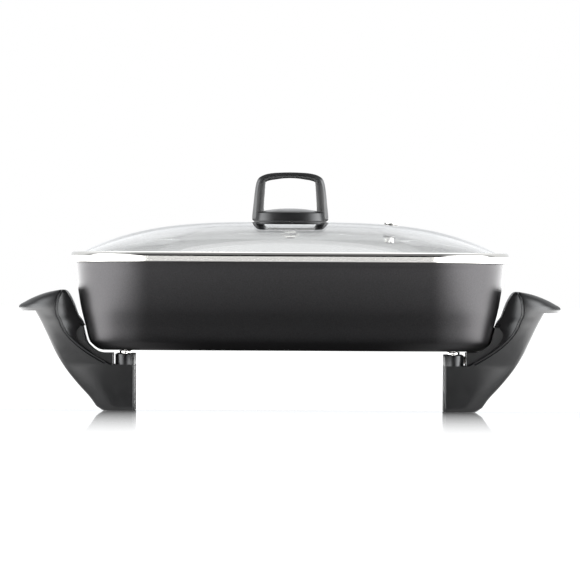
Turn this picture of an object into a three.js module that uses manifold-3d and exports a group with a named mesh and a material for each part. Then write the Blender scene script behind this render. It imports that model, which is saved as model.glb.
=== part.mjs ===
// Electric skillet with a domed glass lid, in millimetres, +Z up.
// The origin is on the table, under the middle of the pan. +X runs along the long side,
// towards the end where the heat control plugs in, and the front is towards -Y.

import * as THREE from 'three';
import { mergeVertices } from 'three/addons/utils/BufferGeometryUtils.js';
import Module from 'manifold-3d';

const wasm = await Module();
wasm.setup();

// Fits and cutting
const seatGap = 0.3;              // between pieces that rest on each other
const runGap = 0.4;               // between a pin and its hole
const overrun = 5;                // how far a cut runs past what it cuts

// Facets
const cornerFacets = 7;           // on each rounded corner of the pan and lid
const sideFacets = 4;             // on each straight side of the dome
const legFacets = 4;              // on each rounded corner of a leg moulding
const hollowFacets = 3;           // on each corner inside it
const screwSides = 12;
const roundSides = 18;

// Pan
const panHalfLength = 202.3;
const panHalfWidth = 152.3;
const panCornerRadius = 70;
const panBottomZ = 57.3;
const panDepth = 83.1;
const panFlare = 27.1;            // how far the flat bottom lies in from the mouth
const panWall = 3.2;
const panFloorThickness = 6;
const panSkirtDepth = 7.7;        // from the bottom edge up to the underside of the floor
const panInsideFillet = 11;
const filletSteps = 3;
const panSkirtWidth = 8;
const panSkirtDraft = 2;

// Heating element, brazed into a groove under the pan floor
const elementRadius = 3.5;
const elementEndInset = 72.3;     // from the pan's mouth at the far end
const elementSideInset = 64.3;
const elementNearInset = 104.3;   // the same at the socket's end
const elementCornerRadius = 40;
const elementSides = 8;
const elementTurnSteps = 4;       // in each quarter turn
const leadSpacing = 22;           // between the two leads, centre to centre
const leadTurnRadius = 14;        // where a lead joins the loop

// Socket for the plug-in heat control
const socketInset = 35.8;         // from the pan's mouth to the back of the socket
const socketLength = 42;
const socketHalfWidth = 25.2;
const socketHeight = 16.2;
const socketWall = 1.2;
const insulatorThickness = 8;
const insulatorInset = 9;
const pinRadius = 2.4;
const pinReach = 20;              // how far the pins stand out of the insulator
const pinTip = 1.2;
const sleeveRadius = 5;
const sleeveWall = 1.4;
const sleeveReach = 16;
const guardScrewSetback = 4.7;
const guardScrewFromSide = 6.2;
const guardScrewRadius = 1.9;
const guardScrewHeadRadius = 3.4;
const guardScrewHeadHeight = 1.8;
const guardScrewBite = 6;

// Leg posts, spacers and screws
const postInset = 47.8;           // from the pan's mouth
const postFromCheek = 15;
const postRadius = 9.2;
const spacerRadius = 5.35;
const spacerHeight = 2.8;
const legBossRadius = 8;
const legScrewRadius = 2.5;
const legScrewHeadRadius = 4.8;
const legScrewHeadHeight = 3.2;
const legScrewBite = 6.5;         // how far the shank stands into the pan
const legScrewSeatDrop = 23.3;
const washerRadius = 5.4;
const washerThickness = 1;
const accessClearance = 0.6;      // round the washer, in the way in for the screw

// Leg and handle mouldings
const legHalfWidth = 100;
const legWall = 3;
const footInset = 28.9;           // the outer edge of the foot, in from the pan's mouth
const neckReach = 37.5;           // out from the pan's mouth, as the next ones
const lipReach = 52.6;
const crestReach = 13.3;
const creaseReach = 9;
const lipRise = 36.5;             // up from the bottom of the pan, as the next ones
const crestRise = 56.4;
const wallFootRise = 22.7;
const archRise = 4.7;
const footTopDrop = 13.8;
const shelfInset = 36.2;
const crestWidth = 3;
const crestRound = 4;             // how far the crest's ends draw in
const crestRoundPower = 4;
const wallFootGap = 1.6;          // between the pan and the foot of the handle's inner wall
const cheekEdgeRadius = 2;
const lipCornerRadius = 34;
const neckCornerRadius = 26;
const footCornerRadius = 12;
const ribThickness = 2;
const ribY = 19;
const archHalfWidth = 55;
const archCornerRadius = 20;

// Inner covers, which close the legs towards the pan
const coverWall = 2.4;
const coverGapRight = 1.1;        // between the pan and the cover on the socket side
const coverGapLeft = 3.1;
const coverLap = 1.6;             // how deep a cover reaches behind the cheeks

// Lid rim
const rimOverhang = 3.7;          // out from the pan's mouth
const rimCornerExtra = 3.5;       // what its corner radius has over the pan's
const rimHeight = 9.4;
const rimRound = 2.6;
const rimSheet = 1.3;
const rimFlange = 8.5;
const rimSkirtDepth = 6;
const rimSkirtClearance = 1.2;

// Lid glass
const glassEdgeInset = 4;
const glassRise = 32.4;
const glassBed = 0.7;             // between the rim's channel and the edge of the glass
const glassPower = 3.5;
const glassEvenPower = 8;         // how soon the edge of the glass follows the rim
const glassThickness = 4;
const glassEdgeThickness = 3.4;
const glassHoleClearance = 0.8;   // round the knob's screw

// Knob
const knobSealThickness = 0.9;
const knobSealInset = 2;
const loopDepth = 23;
const loopChamfer = 2.6;
const loopSoftEdge = 0.8;
const loopHalfWidth = 35.9;
const loopHeight = 45.7;
const loopCrown = 5.4;
const loopSide = 10.8;
const loopBar = 2.2;
const knobBaseEndInset = 1.3;     // in from the outside of the loop
const knobBaseHalfWidth = 24;
const knobBaseHeight = 7.7;
const knobBaseDraft = 1.4;
const knobCapRise = 4;
const knobBaseSides = 32;
const knobOvalPower = 3;
const knobScrewRadius = 2.4;
const knobScrewHeadRadius = 5.2;
const knobScrewHeadHeight = 3.2;
const knobScrewHeadChamfer = 1;
const knobScrewTopShare = 0.7;
const knobWasherRadius = 8;
const knobWasherThickness = 1.6;

// Steam vent
const ventX = 95;
const ventFlangeWidth = 2.3;
const ventFlangeHeight = 2;
const ventBarrelRadius = 4.6;
const ventBarrelLength = 13.5;
const ventWall = 2;
const ventRingWidth = 2;
const ventRingHeight = 1.6;

// Outline of the pan wall: share of its height, share of the flare
const panWallShares = [
  [0, 1], [0.014, 0.84], [0.066, 0.627], [0.11, 0.52], [0.276, 0.38],
  [0.344, 0.336], [0.446, 0.247], [0.572, 0.177], [0.8, 0.074], [1, 0],
];

// Outer edge of a leg: share of the height up to the lip, share of the way out to the neck
const legEdgeShares = [
  [0, 0], [0.03, 0.095], [0.13, 0.2], [0.272, 0.383], [0.433, 0.565],
  [0.594, 0.706], [0.755, 0.819], [0.9, 0.92], [1, 1],
];

// Top of the handle: share of the height from lip to crest, share of the way out to the tip
const handleTopShares = [
  [0, 0.928], [0.07, 0.985], [0.161, 1], [0.28, 0.97], [0.412, 0.858], [0.598, 0.681],
  [0.789, 0.446], [0.9, 0.26], [0.97, 0.09], [1, 0],
];

// Inner wall of the handle: share of its height, share of the way out to the crest
const innerWallShares = [
  [0, 0], [0.175, 0.171], [0.288, 0.321], [0.427, 0.415], [0.706, 0.611], [0.932, 0.845], [1, 1],
];

// Roll from the cheek into that wall: share of the wall's height, share of the roll radius
const rollShares = [[0, 1], [0.43, 0.85], [0.57, 0.76], [0.8, 0.5], [1, 0.1]];

// Crease that ends the cheek: share of its height, share of its reach
const creaseShares = [
  [0, 0.02], [0.205, 0.319], [0.34, 0.489], [0.523, 0.684], [0.786, 0.894], [1, 1],
];

// Outside of the knob loop: share of its height, share of its half width
const loopOuterShares = [
  [0, 0.975], [0.03, 1], [0.15, 0.993], [0.32, 0.97], [0.57, 0.937], [0.8, 0.886],
  [0.88, 0.83], [0.945, 0.69], [0.98, 0.5], [0.995, 0.25], [1, 0],
];

// Window of the loop: share of its height, share of its half width
const loopWindowShares = [
  [0, 0.96], [0.03, 1], [0.15, 0.998], [0.32, 0.985], [0.57, 0.96], [0.8, 0.935],
  [0.9, 0.91], [0.935, 0.8], [0.965, 0.55], [0.99, 0.28], [1, 0],
];

// Rings of the glass and of the top of the knob's base, as shares of the way out
const glassShares = [1, 0.965, 0.91, 0.83, 0.72, 0.58, 0.4, 0.18];
const knobCapShares = [1, 0.82, 0.6, 0.35, 0.12];

// How much of the width beside the crease an outer corner may take
const cornerFitShare = 0.98;

const finishes = {
  enamel: { color: 0x3a393a, roughness: 0.42, metalness: 0.25 },
  phenolic: { color: 0x262527, roughness: 0.34, metalness: 0 },
  steel: { color: 0xd4d4d2, roughness: 0.16, metalness: 1 },
  glass: { color: 0xe4ebea, roughness: 0.03, metalness: 0, transparent: true, opacity: 0.35 },
  ceramic: { color: 0xe9e4d8, roughness: 0.7, metalness: 0 },
  silicone: { color: 0x1d1d1e, roughness: 0.6, metalness: 0 },
};

const skillet = new THREE.Group();
const lid = new THREE.Group();
skillet.add(lid);

// Straight-line reading of a table of [at, value] pairs
function readTable(table, at) {
  const last = table.length - 1;
  if (at <= table[0][0]) return table[0][1];
  if (at >= table[last][0]) return table[last][1];
  const next = table.findIndex((row) => row[0] >= at);
  const [lowAt, lowValue] = table[next - 1];
  const [highAt, highValue] = table[next];
  return lowValue + ((highValue - lowValue) * (at - lowAt)) / (highAt - lowAt);
}

function mix(low, high, share) {
  return low + (high - low) * share;
}

function stripped(geometry) {
  geometry.deleteAttribute('normal');
  geometry.deleteAttribute('uv');
  return geometry;
}

// A closed geometry as a solid that can be joined and cut
function solidOf(geometry) {
  const merged = mergeVertices(stripped(geometry.clone()));
  const mesh = new wasm.Mesh({
    numProp: 3,
    vertProperties: new Float32Array(merged.attributes.position.array),
    triVerts: new Uint32Array(merged.index.array),
  });
  return new wasm.Manifold(mesh);
}

function geometryOf(solid) {
  const mesh = solid.getMesh();
  const geometry = new THREE.BufferGeometry();
  geometry.setAttribute('position', new THREE.BufferAttribute(new Float32Array(mesh.vertProperties), 3));
  geometry.setIndex(new THREE.BufferAttribute(new Uint32Array(mesh.triVerts), 1));
  return geometry;
}

function finished(geometry) {
  const shown = geometry.index ? geometry.toNonIndexed() : geometry;
  shown.computeVertexNormals();
  return shown;
}

function addPiece(name, geometry, finish, parent = skillet) {
  const material = new THREE.MeshStandardMaterial(finishes[finish]);
  const mesh = new THREE.Mesh(finished(geometry), material);
  mesh.name = name;
  parent.add(mesh);
  return mesh;
}

// Six times the volume of an indexed mesh, negative when its faces point inwards
function signedVolume(points, faces) {
  const cross = new THREE.Vector3();
  return faces.reduce((sum, [a, b, c]) => sum + points[a].dot(cross.crossVectors(points[b], points[c])), 0);
}

function meshFrom(points, faces) {
  const outward = signedVolume(points, faces) < 0 ? faces.map(([a, b, c]) => [a, c, b]) : faces;
  const geometry = new THREE.BufferGeometry().setFromPoints(points);
  geometry.setIndex(outward.flat());
  return geometry;
}

function bandFaces(first, second, count) {
  const faces = [];
  for (let i = 0; i < count; i += 1) {
    const j = (i + 1) % count;
    faces.push([first + i, first + j, second + j], [first + i, second + j, second + i]);
  }
  return faces;
}

// Skin over a stack of rings, closed at both ends by a fan about the middle
function loft(rings) {
  const count = rings[0].length;
  const points = rings.flat();
  const faces = [];
  for (let k = 0; k + 1 < rings.length; k += 1) {
    faces.push(...bandFaces(k * count, (k + 1) * count, count));
  }
  const ends = [[0, rings[0]], [(rings.length - 1) * count, rings[rings.length - 1]]];
  ends.forEach(([start, ring], end) => {
    const middle = points.length;
    points.push(ring.reduce((sum, p) => sum.add(p), new THREE.Vector3()).divideScalar(count));
    for (let i = 0; i < count; i += 1) {
      const j = (i + 1) % count;
      faces.push(end === 0 ? [middle, start + j, start + i] : [middle, start + i, start + j]);
    }
  });
  return meshFrom(points, faces);
}

// Skin over rings that come back to the first one, such as a rim's section
function hoop(rings) {
  const count = rings[0].length;
  const faces = [];
  rings.forEach((ring, k) => {
    faces.push(...bandFaces(k * count, ((k + 1) % rings.length) * count, count));
  });
  return meshFrom(rings.flat(), faces);
}

// Rounded rectangle about the Z axis
function panRing(halfLength, halfWidth, radius, z) {
  const ring = [];
  for (let corner = 0; corner < 4; corner += 1) {
    const signX = corner === 0 || corner === 3 ? 1 : -1;
    const signY = corner < 2 ? 1 : -1;
    for (let i = 0; i <= cornerFacets; i += 1) {
      const angle = ((corner + i / cornerFacets) * Math.PI) / 2;
      const x = signX * (halfLength - radius) + radius * Math.cos(angle);
      const y = signY * (halfWidth - radius) + radius * Math.sin(angle);
      ring.push(new THREE.Vector3(x, y, z));
    }
  }
  return ring;
}

// The same with points along its straight sides, drawn towards an ellipse by its roundness
function domeRing(halfLength, halfWidth, radius, z, roundness) {
  const corners = panRing(halfLength, halfWidth, radius, z);
  const ring = corners.flatMap((point, i) => {
    if ((i + 1) % (cornerFacets + 1) !== 0) return [point];
    const next = corners[(i + 1) % corners.length];
    const steps = [...Array(sideFacets).keys()];
    return steps.map((k) => point.clone().lerp(next, k / sideFacets));
  });
  return ring.map((point) => {
    const reach = Math.hypot(point.x / halfLength, point.y / halfWidth);
    const pull = 1 + roundness * (1 / reach - 1);
    return new THREE.Vector3(point.x * pull, point.y * pull, z);
  });
}

// Ring drawn in by an inset from an outline of the given half sizes
function insetRing(halfLength, halfWidth, radius, inset, z) {
  return panRing(halfLength - inset, halfWidth - inset, radius - inset, z);
}

// Section of a leg moulding: round corners, with their own radius at each end
function legRing({ innerX, outerX, innerR, outerR, halfY }, z, facets) {
  const corners = [
    [outerX - outerR, halfY - outerR, outerR],
    [innerX + innerR, halfY - innerR, innerR],
    [innerX + innerR, innerR - halfY, innerR],
    [outerX - outerR, outerR - halfY, outerR],
  ];
  return corners.flatMap(([x, y, radius], corner) => {
    const arc = [];
    for (let i = 0; i <= facets; i += 1) {
      const angle = ((corner + i / facets) * Math.PI) / 2;
      arc.push(new THREE.Vector3(x + radius * Math.cos(angle), y + radius * Math.sin(angle), z));
    }
    return arc;
  });
}

// Upright cylinder from one height to another
function column(x, y, lowZ, highZ, radius, sides) {
  const geometry = new THREE.CylinderGeometry(radius, radius, highZ - lowZ, sides);
  geometry.rotateX(Math.PI / 2);
  geometry.translate(x, y, (lowZ + highZ) / 2);
  return geometry;
}

// Cylinder along X from one place to another
function rod(lowX, highX, y, z, radius, sides) {
  const geometry = new THREE.CylinderGeometry(radius, radius, highX - lowX, sides);
  geometry.rotateZ(-Math.PI / 2);
  geometry.translate((lowX + highX) / 2, y, z);
  return geometry;
}

function block(lowX, highX, lowY, highY, lowZ, highZ) {
  const geometry = new THREE.BoxGeometry(highX - lowX, highY - lowY, highZ - lowZ);
  geometry.translate((lowX + highX) / 2, (lowY + highY) / 2, (lowZ + highZ) / 2);
  return geometry;
}

// Outline in X and Z, pushed through in Y
function plateAcross(outline, lowY, highY) {
  const shape = new THREE.Shape(outline.map(([x, z]) => new THREE.Vector2(x, z)));
  const geometry = new THREE.ExtrudeGeometry(shape, { depth: highY - lowY, bevelEnabled: false });
  geometry.rotateX(Math.PI / 2);
  geometry.translate(0, highY, 0);
  return geometry;
}

// Turned piece: [radius, height] pairs that start and end on the axis or close on themselves
function turned(profile, sides) {
  const outline = profile.map(([radius, height]) => new THREE.Vector2(radius, height));
  const lathe = new THREE.LatheGeometry(outline, sides);
  lathe.rotateX(Math.PI / 2);
  const bare = mergeVertices(stripped(lathe));
  const points = [];
  const position = bare.attributes.position;
  for (let i = 0; i < position.count; i += 1) {
    points.push(new THREE.Vector3().fromBufferAttribute(position, i));
  }
  const faces = [];
  for (let i = 0; i < bare.index.count; i += 3) {
    const face = [0, 1, 2].map((k) => bare.index.getX(i + k));
    if (new Set(face).size === 3) faces.push(face);
  }
  return meshFrom(points, faces);
}

// The same piece on the other side of the YZ plane
function mirrored(geometry) {
  const twin = geometry.index ? geometry.toNonIndexed() : geometry.clone();
  const position = twin.attributes.position;
  for (let i = 0; i < position.count; i += 3) {
    const face = [0, 1, 2].map((k) => new THREE.Vector3().fromBufferAttribute(position, i + k));
    [face[0], face[2], face[1]].forEach((p, k) => position.setXYZ(i + k, -p.x, p.y, p.z));
  }
  return stripped(twin);
}

// Places shared by the pan and what hangs on it
const socketBackX = panHalfLength - socketInset;
const guardScrewX = socketBackX + guardScrewSetback;
const guardScrewY = socketHalfWidth - guardScrewFromSide;
const postX = panHalfLength - postInset;
const postY = legHalfWidth - postFromCheek;
const legPlaces = [-1, 1].flatMap((sideX) => [-1, 1].map((sideY) => [sideX * postX, sideY * postY]));
const guardScrewPlaces = [-1, 1].map((side) => [guardScrewX, side * guardScrewY]);
const sideNames = ['front', 'back'];
const cornerNames = ['left_front', 'left_back', 'right_front', 'right_back'];

// Pan

const panTopZ = panBottomZ + panDepth;
const panFloorUnderZ = panBottomZ + panSkirtDepth;
const panFloorTopZ = panFloorUnderZ + panFloorThickness;
const elementHalfWidth = panHalfWidth - elementSideInset;
const elementLeftX = elementEndInset - panHalfLength;
const elementRightX = panHalfLength - elementNearInset;
const leadZ = panBottomZ - seatGap - socketHeight / 2;

function panInset(z) {
  return panFlare * readTable(panWallShares, (z - panBottomZ) / panDepth);
}

function panRings(insets) {
  return insets.map(([inset, z]) => insetRing(panHalfLength, panHalfWidth, panCornerRadius, inset, z));
}

function makePan() {
  const outside = panWallShares.map(([high, out]) => [panFlare * out, panBottomZ + panDepth * high]);
  const floorInset = panInset(panFloorTopZ) + panWall;
  const insideHigh = panWallShares
    .map(([high, out]) => [panFlare * out + panWall, panBottomZ + panDepth * high])
    .filter(([, z]) => z > panFloorTopZ + panInsideFillet);
  const fillet = [];
  for (let i = 0; i <= filletSteps; i += 1) {
    const share = i / filletSteps;
    const turn = (share * Math.PI) / 2;
    const z = panFloorTopZ + panInsideFillet * (1 - Math.cos(turn));
    const back = panInsideFillet * (1 - Math.sin(turn));
    fillet.push([mix(floorInset, panInset(z) + panWall, share) + back, z]);
  }
  const above = [[panInset(panTopZ) + panWall, panTopZ + overrun]];
  const inside = [...fillet, ...insideHigh, ...above];
  const skirtInset = panFlare + panSkirtWidth;
  const recess = [
    [skirtInset - panSkirtDraft, panBottomZ - overrun],
    [skirtInset, panBottomZ],
    [skirtInset + panSkirtDraft, panFloorUnderZ],
  ];
  let pan = solidOf(loft(panRings(outside)));
  pan = pan.subtract(solidOf(loft(panRings(inside))));
  pan = pan.subtract(solidOf(loft(panRings(recess))));
  const bossTopZ = panFloorUnderZ + panWall / 2;
  legPlaces.forEach(([x, y]) => {
    pan = pan.add(solidOf(column(x, y, panBottomZ, bossTopZ, legBossRadius, roundSides)));
  });
  const legHole = legScrewRadius + runGap;
  const legHoleTopZ = panBottomZ + legScrewBite + seatGap;
  legPlaces.forEach(([x, y]) => {
    pan = pan.subtract(solidOf(column(x, y, panBottomZ - overrun, legHoleTopZ, legHole, screwSides)));
  });
  const guardHole = guardScrewRadius + runGap;
  const guardHoleTopZ = panBottomZ + guardScrewBite + seatGap;
  guardScrewPlaces.forEach(([x, y]) => {
    pan = pan.subtract(solidOf(column(x, y, panBottomZ - overrun, guardHoleTopZ, guardHole, screwSides)));
  });
  return pan.subtract(solidOf(elementTube(elementRadius + seatGap)));
}

// Points of a quarter turn, from the cosine and sine of the angle turned through
function quarterTurn(pointAt) {
  return [...Array(elementTurnSteps + 1).keys()].map((i) => {
    const angle = ((i / elementTurnSteps) * Math.PI) / 2;
    return pointAt(Math.cos(angle), Math.sin(angle));
  });
}

// Middle line of the element: in from one terminal, up between the posts into the groove,
// round the pan and out to the other terminal
function elementPath() {
  const leadY = leadSpacing / 2;
  const grooveZ = panFloorUnderZ;
  const bend = (grooveZ - leadZ) / 2;
  const bendZ = leadZ + bend;
  const turn = leadTurnRadius;
  const r = elementCornerRadius;
  const cornerY = elementHalfWidth - r;
  const half = [
    [socketBackX - seatGap, leadY, leadZ],
    ...quarterTurn((c, s) => [postX + bend * (1 - s), leadY, bendZ - bend * c]),
    ...quarterTurn((c, s) => [postX - bend * (1 - c), leadY, bendZ + bend * s]).slice(1),
    ...quarterTurn((c, s) => [elementRightX + turn * (1 - s), leadY + turn * (1 - c), grooveZ]),
    ...quarterTurn((c, s) => [elementRightX - r * (1 - c), cornerY + r * s, grooveZ]),
    ...quarterTurn((c, s) => [elementLeftX + r * (1 - s), cornerY + r * c, grooveZ]),
  ];
  const back = half.map(([x, y, z]) => [x, -y, z]).reverse();
  return [...half, ...back].map(([x, y, z]) => new THREE.Vector3(x, y, z));
}

// Rings square to the path. Each takes its side direction over from the one before.
function elementTube(radius) {
  const path = elementPath();
  const last = path.length - 1;
  const side = new THREE.Vector3(0, 1, 0);
  const rings = path.map((point, k) => {
    const ahead = path[Math.min(k + 1, last)].clone().sub(point).normalize();
    const behind = point.clone().sub(path[Math.max(k - 1, 0)]).normalize();
    const along = ahead.add(behind).normalize();
    side.addScaledVector(along, -side.dot(along)).normalize();
    const up = new THREE.Vector3().crossVectors(along, side);
    return [...Array(elementSides).keys()].map((i) => {
      const angle = (i / elementSides) * 2 * Math.PI;
      const ringPoint = point.clone().addScaledVector(side, radius * Math.cos(angle));
      return ringPoint.addScaledVector(up, radius * Math.sin(angle));
    });
  });
  return loft(rings);
}

addPiece('pan_vessel', geometryOf(makePan()), 'enamel');
addPiece('heating_element', geometryOf(solidOf(elementTube(elementRadius))), 'steel');

// Socket for the heat control, hung under the end of the pan

const socketTopZ = panBottomZ - seatGap;
const socketBottomZ = socketTopZ - socketHeight;
const socketFrontX = socketBackX + socketLength;
const insulatorBackX = socketBackX + insulatorInset;
const insulatorFrontX = insulatorBackX + insulatorThickness;

function makeGuard() {
  const inY = socketHalfWidth - socketWall;
  const lowZ = socketBottomZ + socketWall;
  const highZ = socketTopZ - socketWall;
  const half = socketHalfWidth;
  const box = block(socketBackX, socketFrontX, -half, half, socketBottomZ, socketTopZ);
  const core = block(socketBackX - overrun, socketFrontX + overrun, -inY, inY, lowZ, highZ);
  let guard = solidOf(box).subtract(solidOf(core));
  const holeRadius = guardScrewRadius + runGap;
  guardScrewPlaces.forEach(([x, y]) => {
    const hole = column(x, y, highZ - overrun / 2, socketTopZ + overrun, holeRadius, screwSides);
    guard = guard.subtract(solidOf(hole));
  });
  return guard;
}

function makeInsulator() {
  const inY = socketHalfWidth - socketWall - seatGap;
  const lowZ = socketBottomZ + socketWall + seatGap;
  const highZ = socketTopZ - socketWall - seatGap;
  let insulator = solidOf(block(insulatorBackX, insulatorFrontX, -inY, inY, lowZ, highZ));
  const holes = [[-leadSpacing / 2, pinRadius], [leadSpacing / 2, pinRadius], [0, sleeveRadius]];
  holes.forEach(([y, radius]) => {
    const lowX = insulatorBackX - overrun;
    const highX = insulatorFrontX + overrun;
    insulator = insulator.subtract(solidOf(rod(lowX, highX, y, leadZ, radius + seatGap, roundSides)));
  });
  return insulator;
}

function makePin(y) {
  const frontX = insulatorFrontX + pinReach;
  const profile = [
    [0, socketBackX], [pinRadius, socketBackX], [pinRadius, frontX - pinTip],
    [pinRadius - pinTip, frontX], [0, frontX],
  ];
  const pin = turned(profile, roundSides);
  pin.rotateY(Math.PI / 2);
  pin.translate(0, y, leadZ);
  return pin;
}

function makeSleeve() {
  const highX = insulatorFrontX + sleeveReach;
  const tube = solidOf(rod(insulatorBackX, highX, 0, leadZ, sleeveRadius, roundSides));
  const boreRadius = sleeveRadius - sleeveWall;
  const bore = rod(insulatorBackX + sleeveRadius, highX + overrun, 0, leadZ, boreRadius, roundSides);
  return tube.subtract(solidOf(bore));
}

function makeGuardScrew(x, y) {
  const highZ = socketTopZ - socketWall - seatGap;
  const tipZ = panBottomZ + guardScrewBite;
  const profile = [
    [0, highZ - guardScrewHeadHeight], [guardScrewHeadRadius, highZ - guardScrewHeadHeight],
    [guardScrewHeadRadius, highZ], [guardScrewRadius, highZ], [guardScrewRadius, tipZ], [0, tipZ],
  ];
  const screw = turned(profile, screwSides);
  screw.translate(x, y, 0);
  return screw;
}

addPiece('probe_guard', geometryOf(makeGuard()), 'steel');
addPiece('terminal_insulator', geometryOf(makeInsulator()), 'ceramic');
addPiece('terminal_pin_front', makePin(-leadSpacing / 2), 'steel');
addPiece('terminal_pin_back', makePin(leadSpacing / 2), 'steel');
addPiece('sensor_sleeve', geometryOf(makeSleeve()), 'steel');
guardScrewPlaces.forEach(([x, y], i) => {
  addPiece(`guard_screw_${sideNames[i]}`, makeGuardScrew(x, y), 'steel');
});

// Leg and handle mouldings

const footOuterX = panHalfLength - footInset;
const neckX = panHalfLength + neckReach;
const lipTipX = panHalfLength + lipReach;
const crestX = panHalfLength + crestReach;
const creaseTopX = panHalfLength + creaseReach;
const shelfX = panHalfLength - shelfInset;
const lipUnderZ = panBottomZ + lipRise;
const crestZ = panBottomZ + crestRise;
const wallFootZ = panBottomZ + wallFootRise;
const archTopZ = panBottomZ + archRise;
const footTopZ = panBottomZ - footTopDrop;
const legScrewSeatZ = panBottomZ - legScrewSeatDrop;
const footInnerX = postX - postRadius;
const wallFootX = panHalfLength - panInset(wallFootZ) + wallFootGap;
const crestInnerX = crestX - crestWidth;
const spacerTopZ = panBottomZ - seatGap;
const postTopZ = spacerTopZ - spacerHeight - seatGap;

function legEdgeX(z) {
  return mix(footOuterX, neckX, readTable(legEdgeShares, z / lipUnderZ));
}

function handleTopX(z) {
  return mix(crestX, lipTipX, readTable(handleTopShares, (z - lipUnderZ) / (crestZ - lipUnderZ)));
}

function creaseX(z) {
  return mix(shelfX, creaseTopX, readTable(creaseShares, (z - footTopZ) / (wallFootZ - footTopZ)));
}

function innerWallX(z) {
  return mix(wallFootX, crestInnerX, readTable(innerWallShares, (z - wallFootZ) / (crestZ - wallFootZ)));
}

function rollAt(z) {
  const rollRadius = creaseTopX + cheekEdgeRadius - wallFootX;
  return rollRadius * readTable(rollShares, (z - wallFootZ) / (crestZ - wallFootZ));
}

// Section of the moulding at a height, in one of its four zones from foot to lip.
// The outer corners take what the roll or the crease leaves of the width.
function legSection(zone, z) {
  const inside = {
    foot: [footInnerX, cheekEdgeRadius],
    cheek: [creaseX(z), cheekEdgeRadius],
    wall: [innerWallX(z), rollAt(z)],
    lip: [innerWallX(z), rollAt(z)],
  };
  const [innerX, innerR] = inside[zone];
  const climb = Math.max(0, (z - lipUnderZ) / (crestZ - lipUnderZ));
  const outerX = zone === 'lip' ? handleTopX(z) : legEdgeX(z);
  const cornerRadius = mix(footCornerRadius, neckCornerRadius, Math.min(1, z / lipUnderZ));
  const wantedR = zone === 'lip' ? lipCornerRadius : cornerRadius;
  const outerR = Math.min(wantedR, (outerX - innerX - innerR) * cornerFitShare);
  return { innerX, innerR, outerX, outerR, halfY: legHalfWidth - crestRound * climb ** crestRoundPower };
}

function between(low, high, heights) {
  return [low, ...heights.filter((z) => z > low && z < high), high];
}

const edgeHeights = legEdgeShares.map(([high]) => high * lipUnderZ);
const creaseHeights = creaseShares.map(([high]) => mix(footTopZ, wallFootZ, high));
const wallHeights = innerWallShares.map(([high]) => mix(wallFootZ, crestZ, high));
const topHeights = handleTopShares.map(([high]) => mix(lipUnderZ, crestZ, high));

function legOutside() {
  const zones = [
    ['foot', between(0, footTopZ, edgeHeights)],
    ['cheek', between(footTopZ, wallFootZ, creaseHeights)],
    ['wall', between(wallFootZ, lipUnderZ, wallHeights)],
    ['lip', topHeights],
  ];
  return loft(zones.flatMap(([zone, heights]) => {
    return heights.map((z) => legRing(legSection(zone, z), z, legFacets));
  }));
}

// Hollow of the moulding, open towards the pan below the handle's inner wall
function legInside() {
  const ringAt = (zone, z) => {
    const section = legSection(zone, z);
    const topX = Math.min(neckX, handleTopX(z + legWall) + legWall);
    const shrunk = {
      innerX: zone === 'cheek' ? section.innerX - 2 * legWall : section.innerX + legWall,
      outerX: (zone === 'lip' ? topX : section.outerX) - legWall,
      innerR: Math.max(section.innerR - legWall, cheekEdgeRadius / 2),
      outerR: Math.max(section.outerR - legWall, cheekEdgeRadius / 2),
      halfY: section.halfY - legWall,
    };
    return legRing(shrunk, z, hollowFacets);
  };
  const footHeights = [legWall, footTopZ / 2, footTopZ + legWall];
  const cheekRun = between(footTopZ + legWall, wallFootZ + legWall, creaseHeights);
  const wallRun = [wallFootZ + legWall, lipUnderZ];
  const lipRun = topHeights.filter((z) => z > lipUnderZ && z < crestZ - legWall);
  return loft([
    ...footHeights.map((z) => ringAt('foot', z)),
    ...cheekRun.map((z) => ringAt('cheek', z)),
    ...wallRun.map((z) => ringAt('wall', z)),
    ...lipRun.map((z) => ringAt('lip', z)),
  ]);
}

// Tunnel between the feet, grown by a margin
function archTunnel(margin) {
  const half = archHalfWidth + margin;
  const top = archTopZ + margin;
  const radius = archCornerRadius + margin;
  const shape = new THREE.Shape();
  shape.moveTo(-half, -overrun);
  shape.lineTo(half, -overrun);
  shape.lineTo(half, top - radius);
  shape.absarc(half - radius, top - radius, radius, 0, Math.PI / 2);
  shape.lineTo(radius - half, top);
  shape.absarc(radius - half, top - radius, radius, Math.PI / 2, Math.PI);
  const depth = lipTipX - footInnerX + 2 * overrun;
  const settings = { depth, bevelEnabled: false, curveSegments: legFacets };
  const geometry = new THREE.ExtrudeGeometry(shape, settings);
  geometry.rotateX(Math.PI / 2);
  geometry.rotateZ(Math.PI / 2);
  geometry.translate(footInnerX - overrun, 0, 0);
  return geometry;
}

function makeLeg() {
  const accessRadius = washerRadius + accessClearance;
  let hollow = solidOf(legInside()).subtract(solidOf(archTunnel(legWall)));
  [-1, 1].forEach((side) => {
    const lowY = side * ribY - ribThickness / 2;
    const rib = block(footInnerX - overrun, lipTipX + overrun, lowY, lowY + ribThickness, 0, crestZ);
    hollow = hollow.subtract(solidOf(rib));
    const endY = side * (archHalfWidth + legWall / 2) - legWall / 2;
    const endRib = block(footInnerX - overrun, lipTipX + overrun, endY, endY + legWall, 0, crestZ);
    hollow = hollow.subtract(solidOf(endRib));
  });
  let leg = solidOf(legOutside()).subtract(hollow).subtract(solidOf(archTunnel(0)));
  [-1, 1].forEach((side) => {
    const y = side * postY;
    leg = leg.add(solidOf(column(postX, y, legWall / 2, postTopZ, postRadius, roundSides)));
    leg = leg.subtract(solidOf(column(postX, y, -overrun, legScrewSeatZ, accessRadius, screwSides)));
    const shankHole = column(postX, y, 0, postTopZ + overrun, legScrewRadius + runGap, screwSides);
    leg = leg.subtract(solidOf(shankHole));
  });
  return leg;
}

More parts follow.
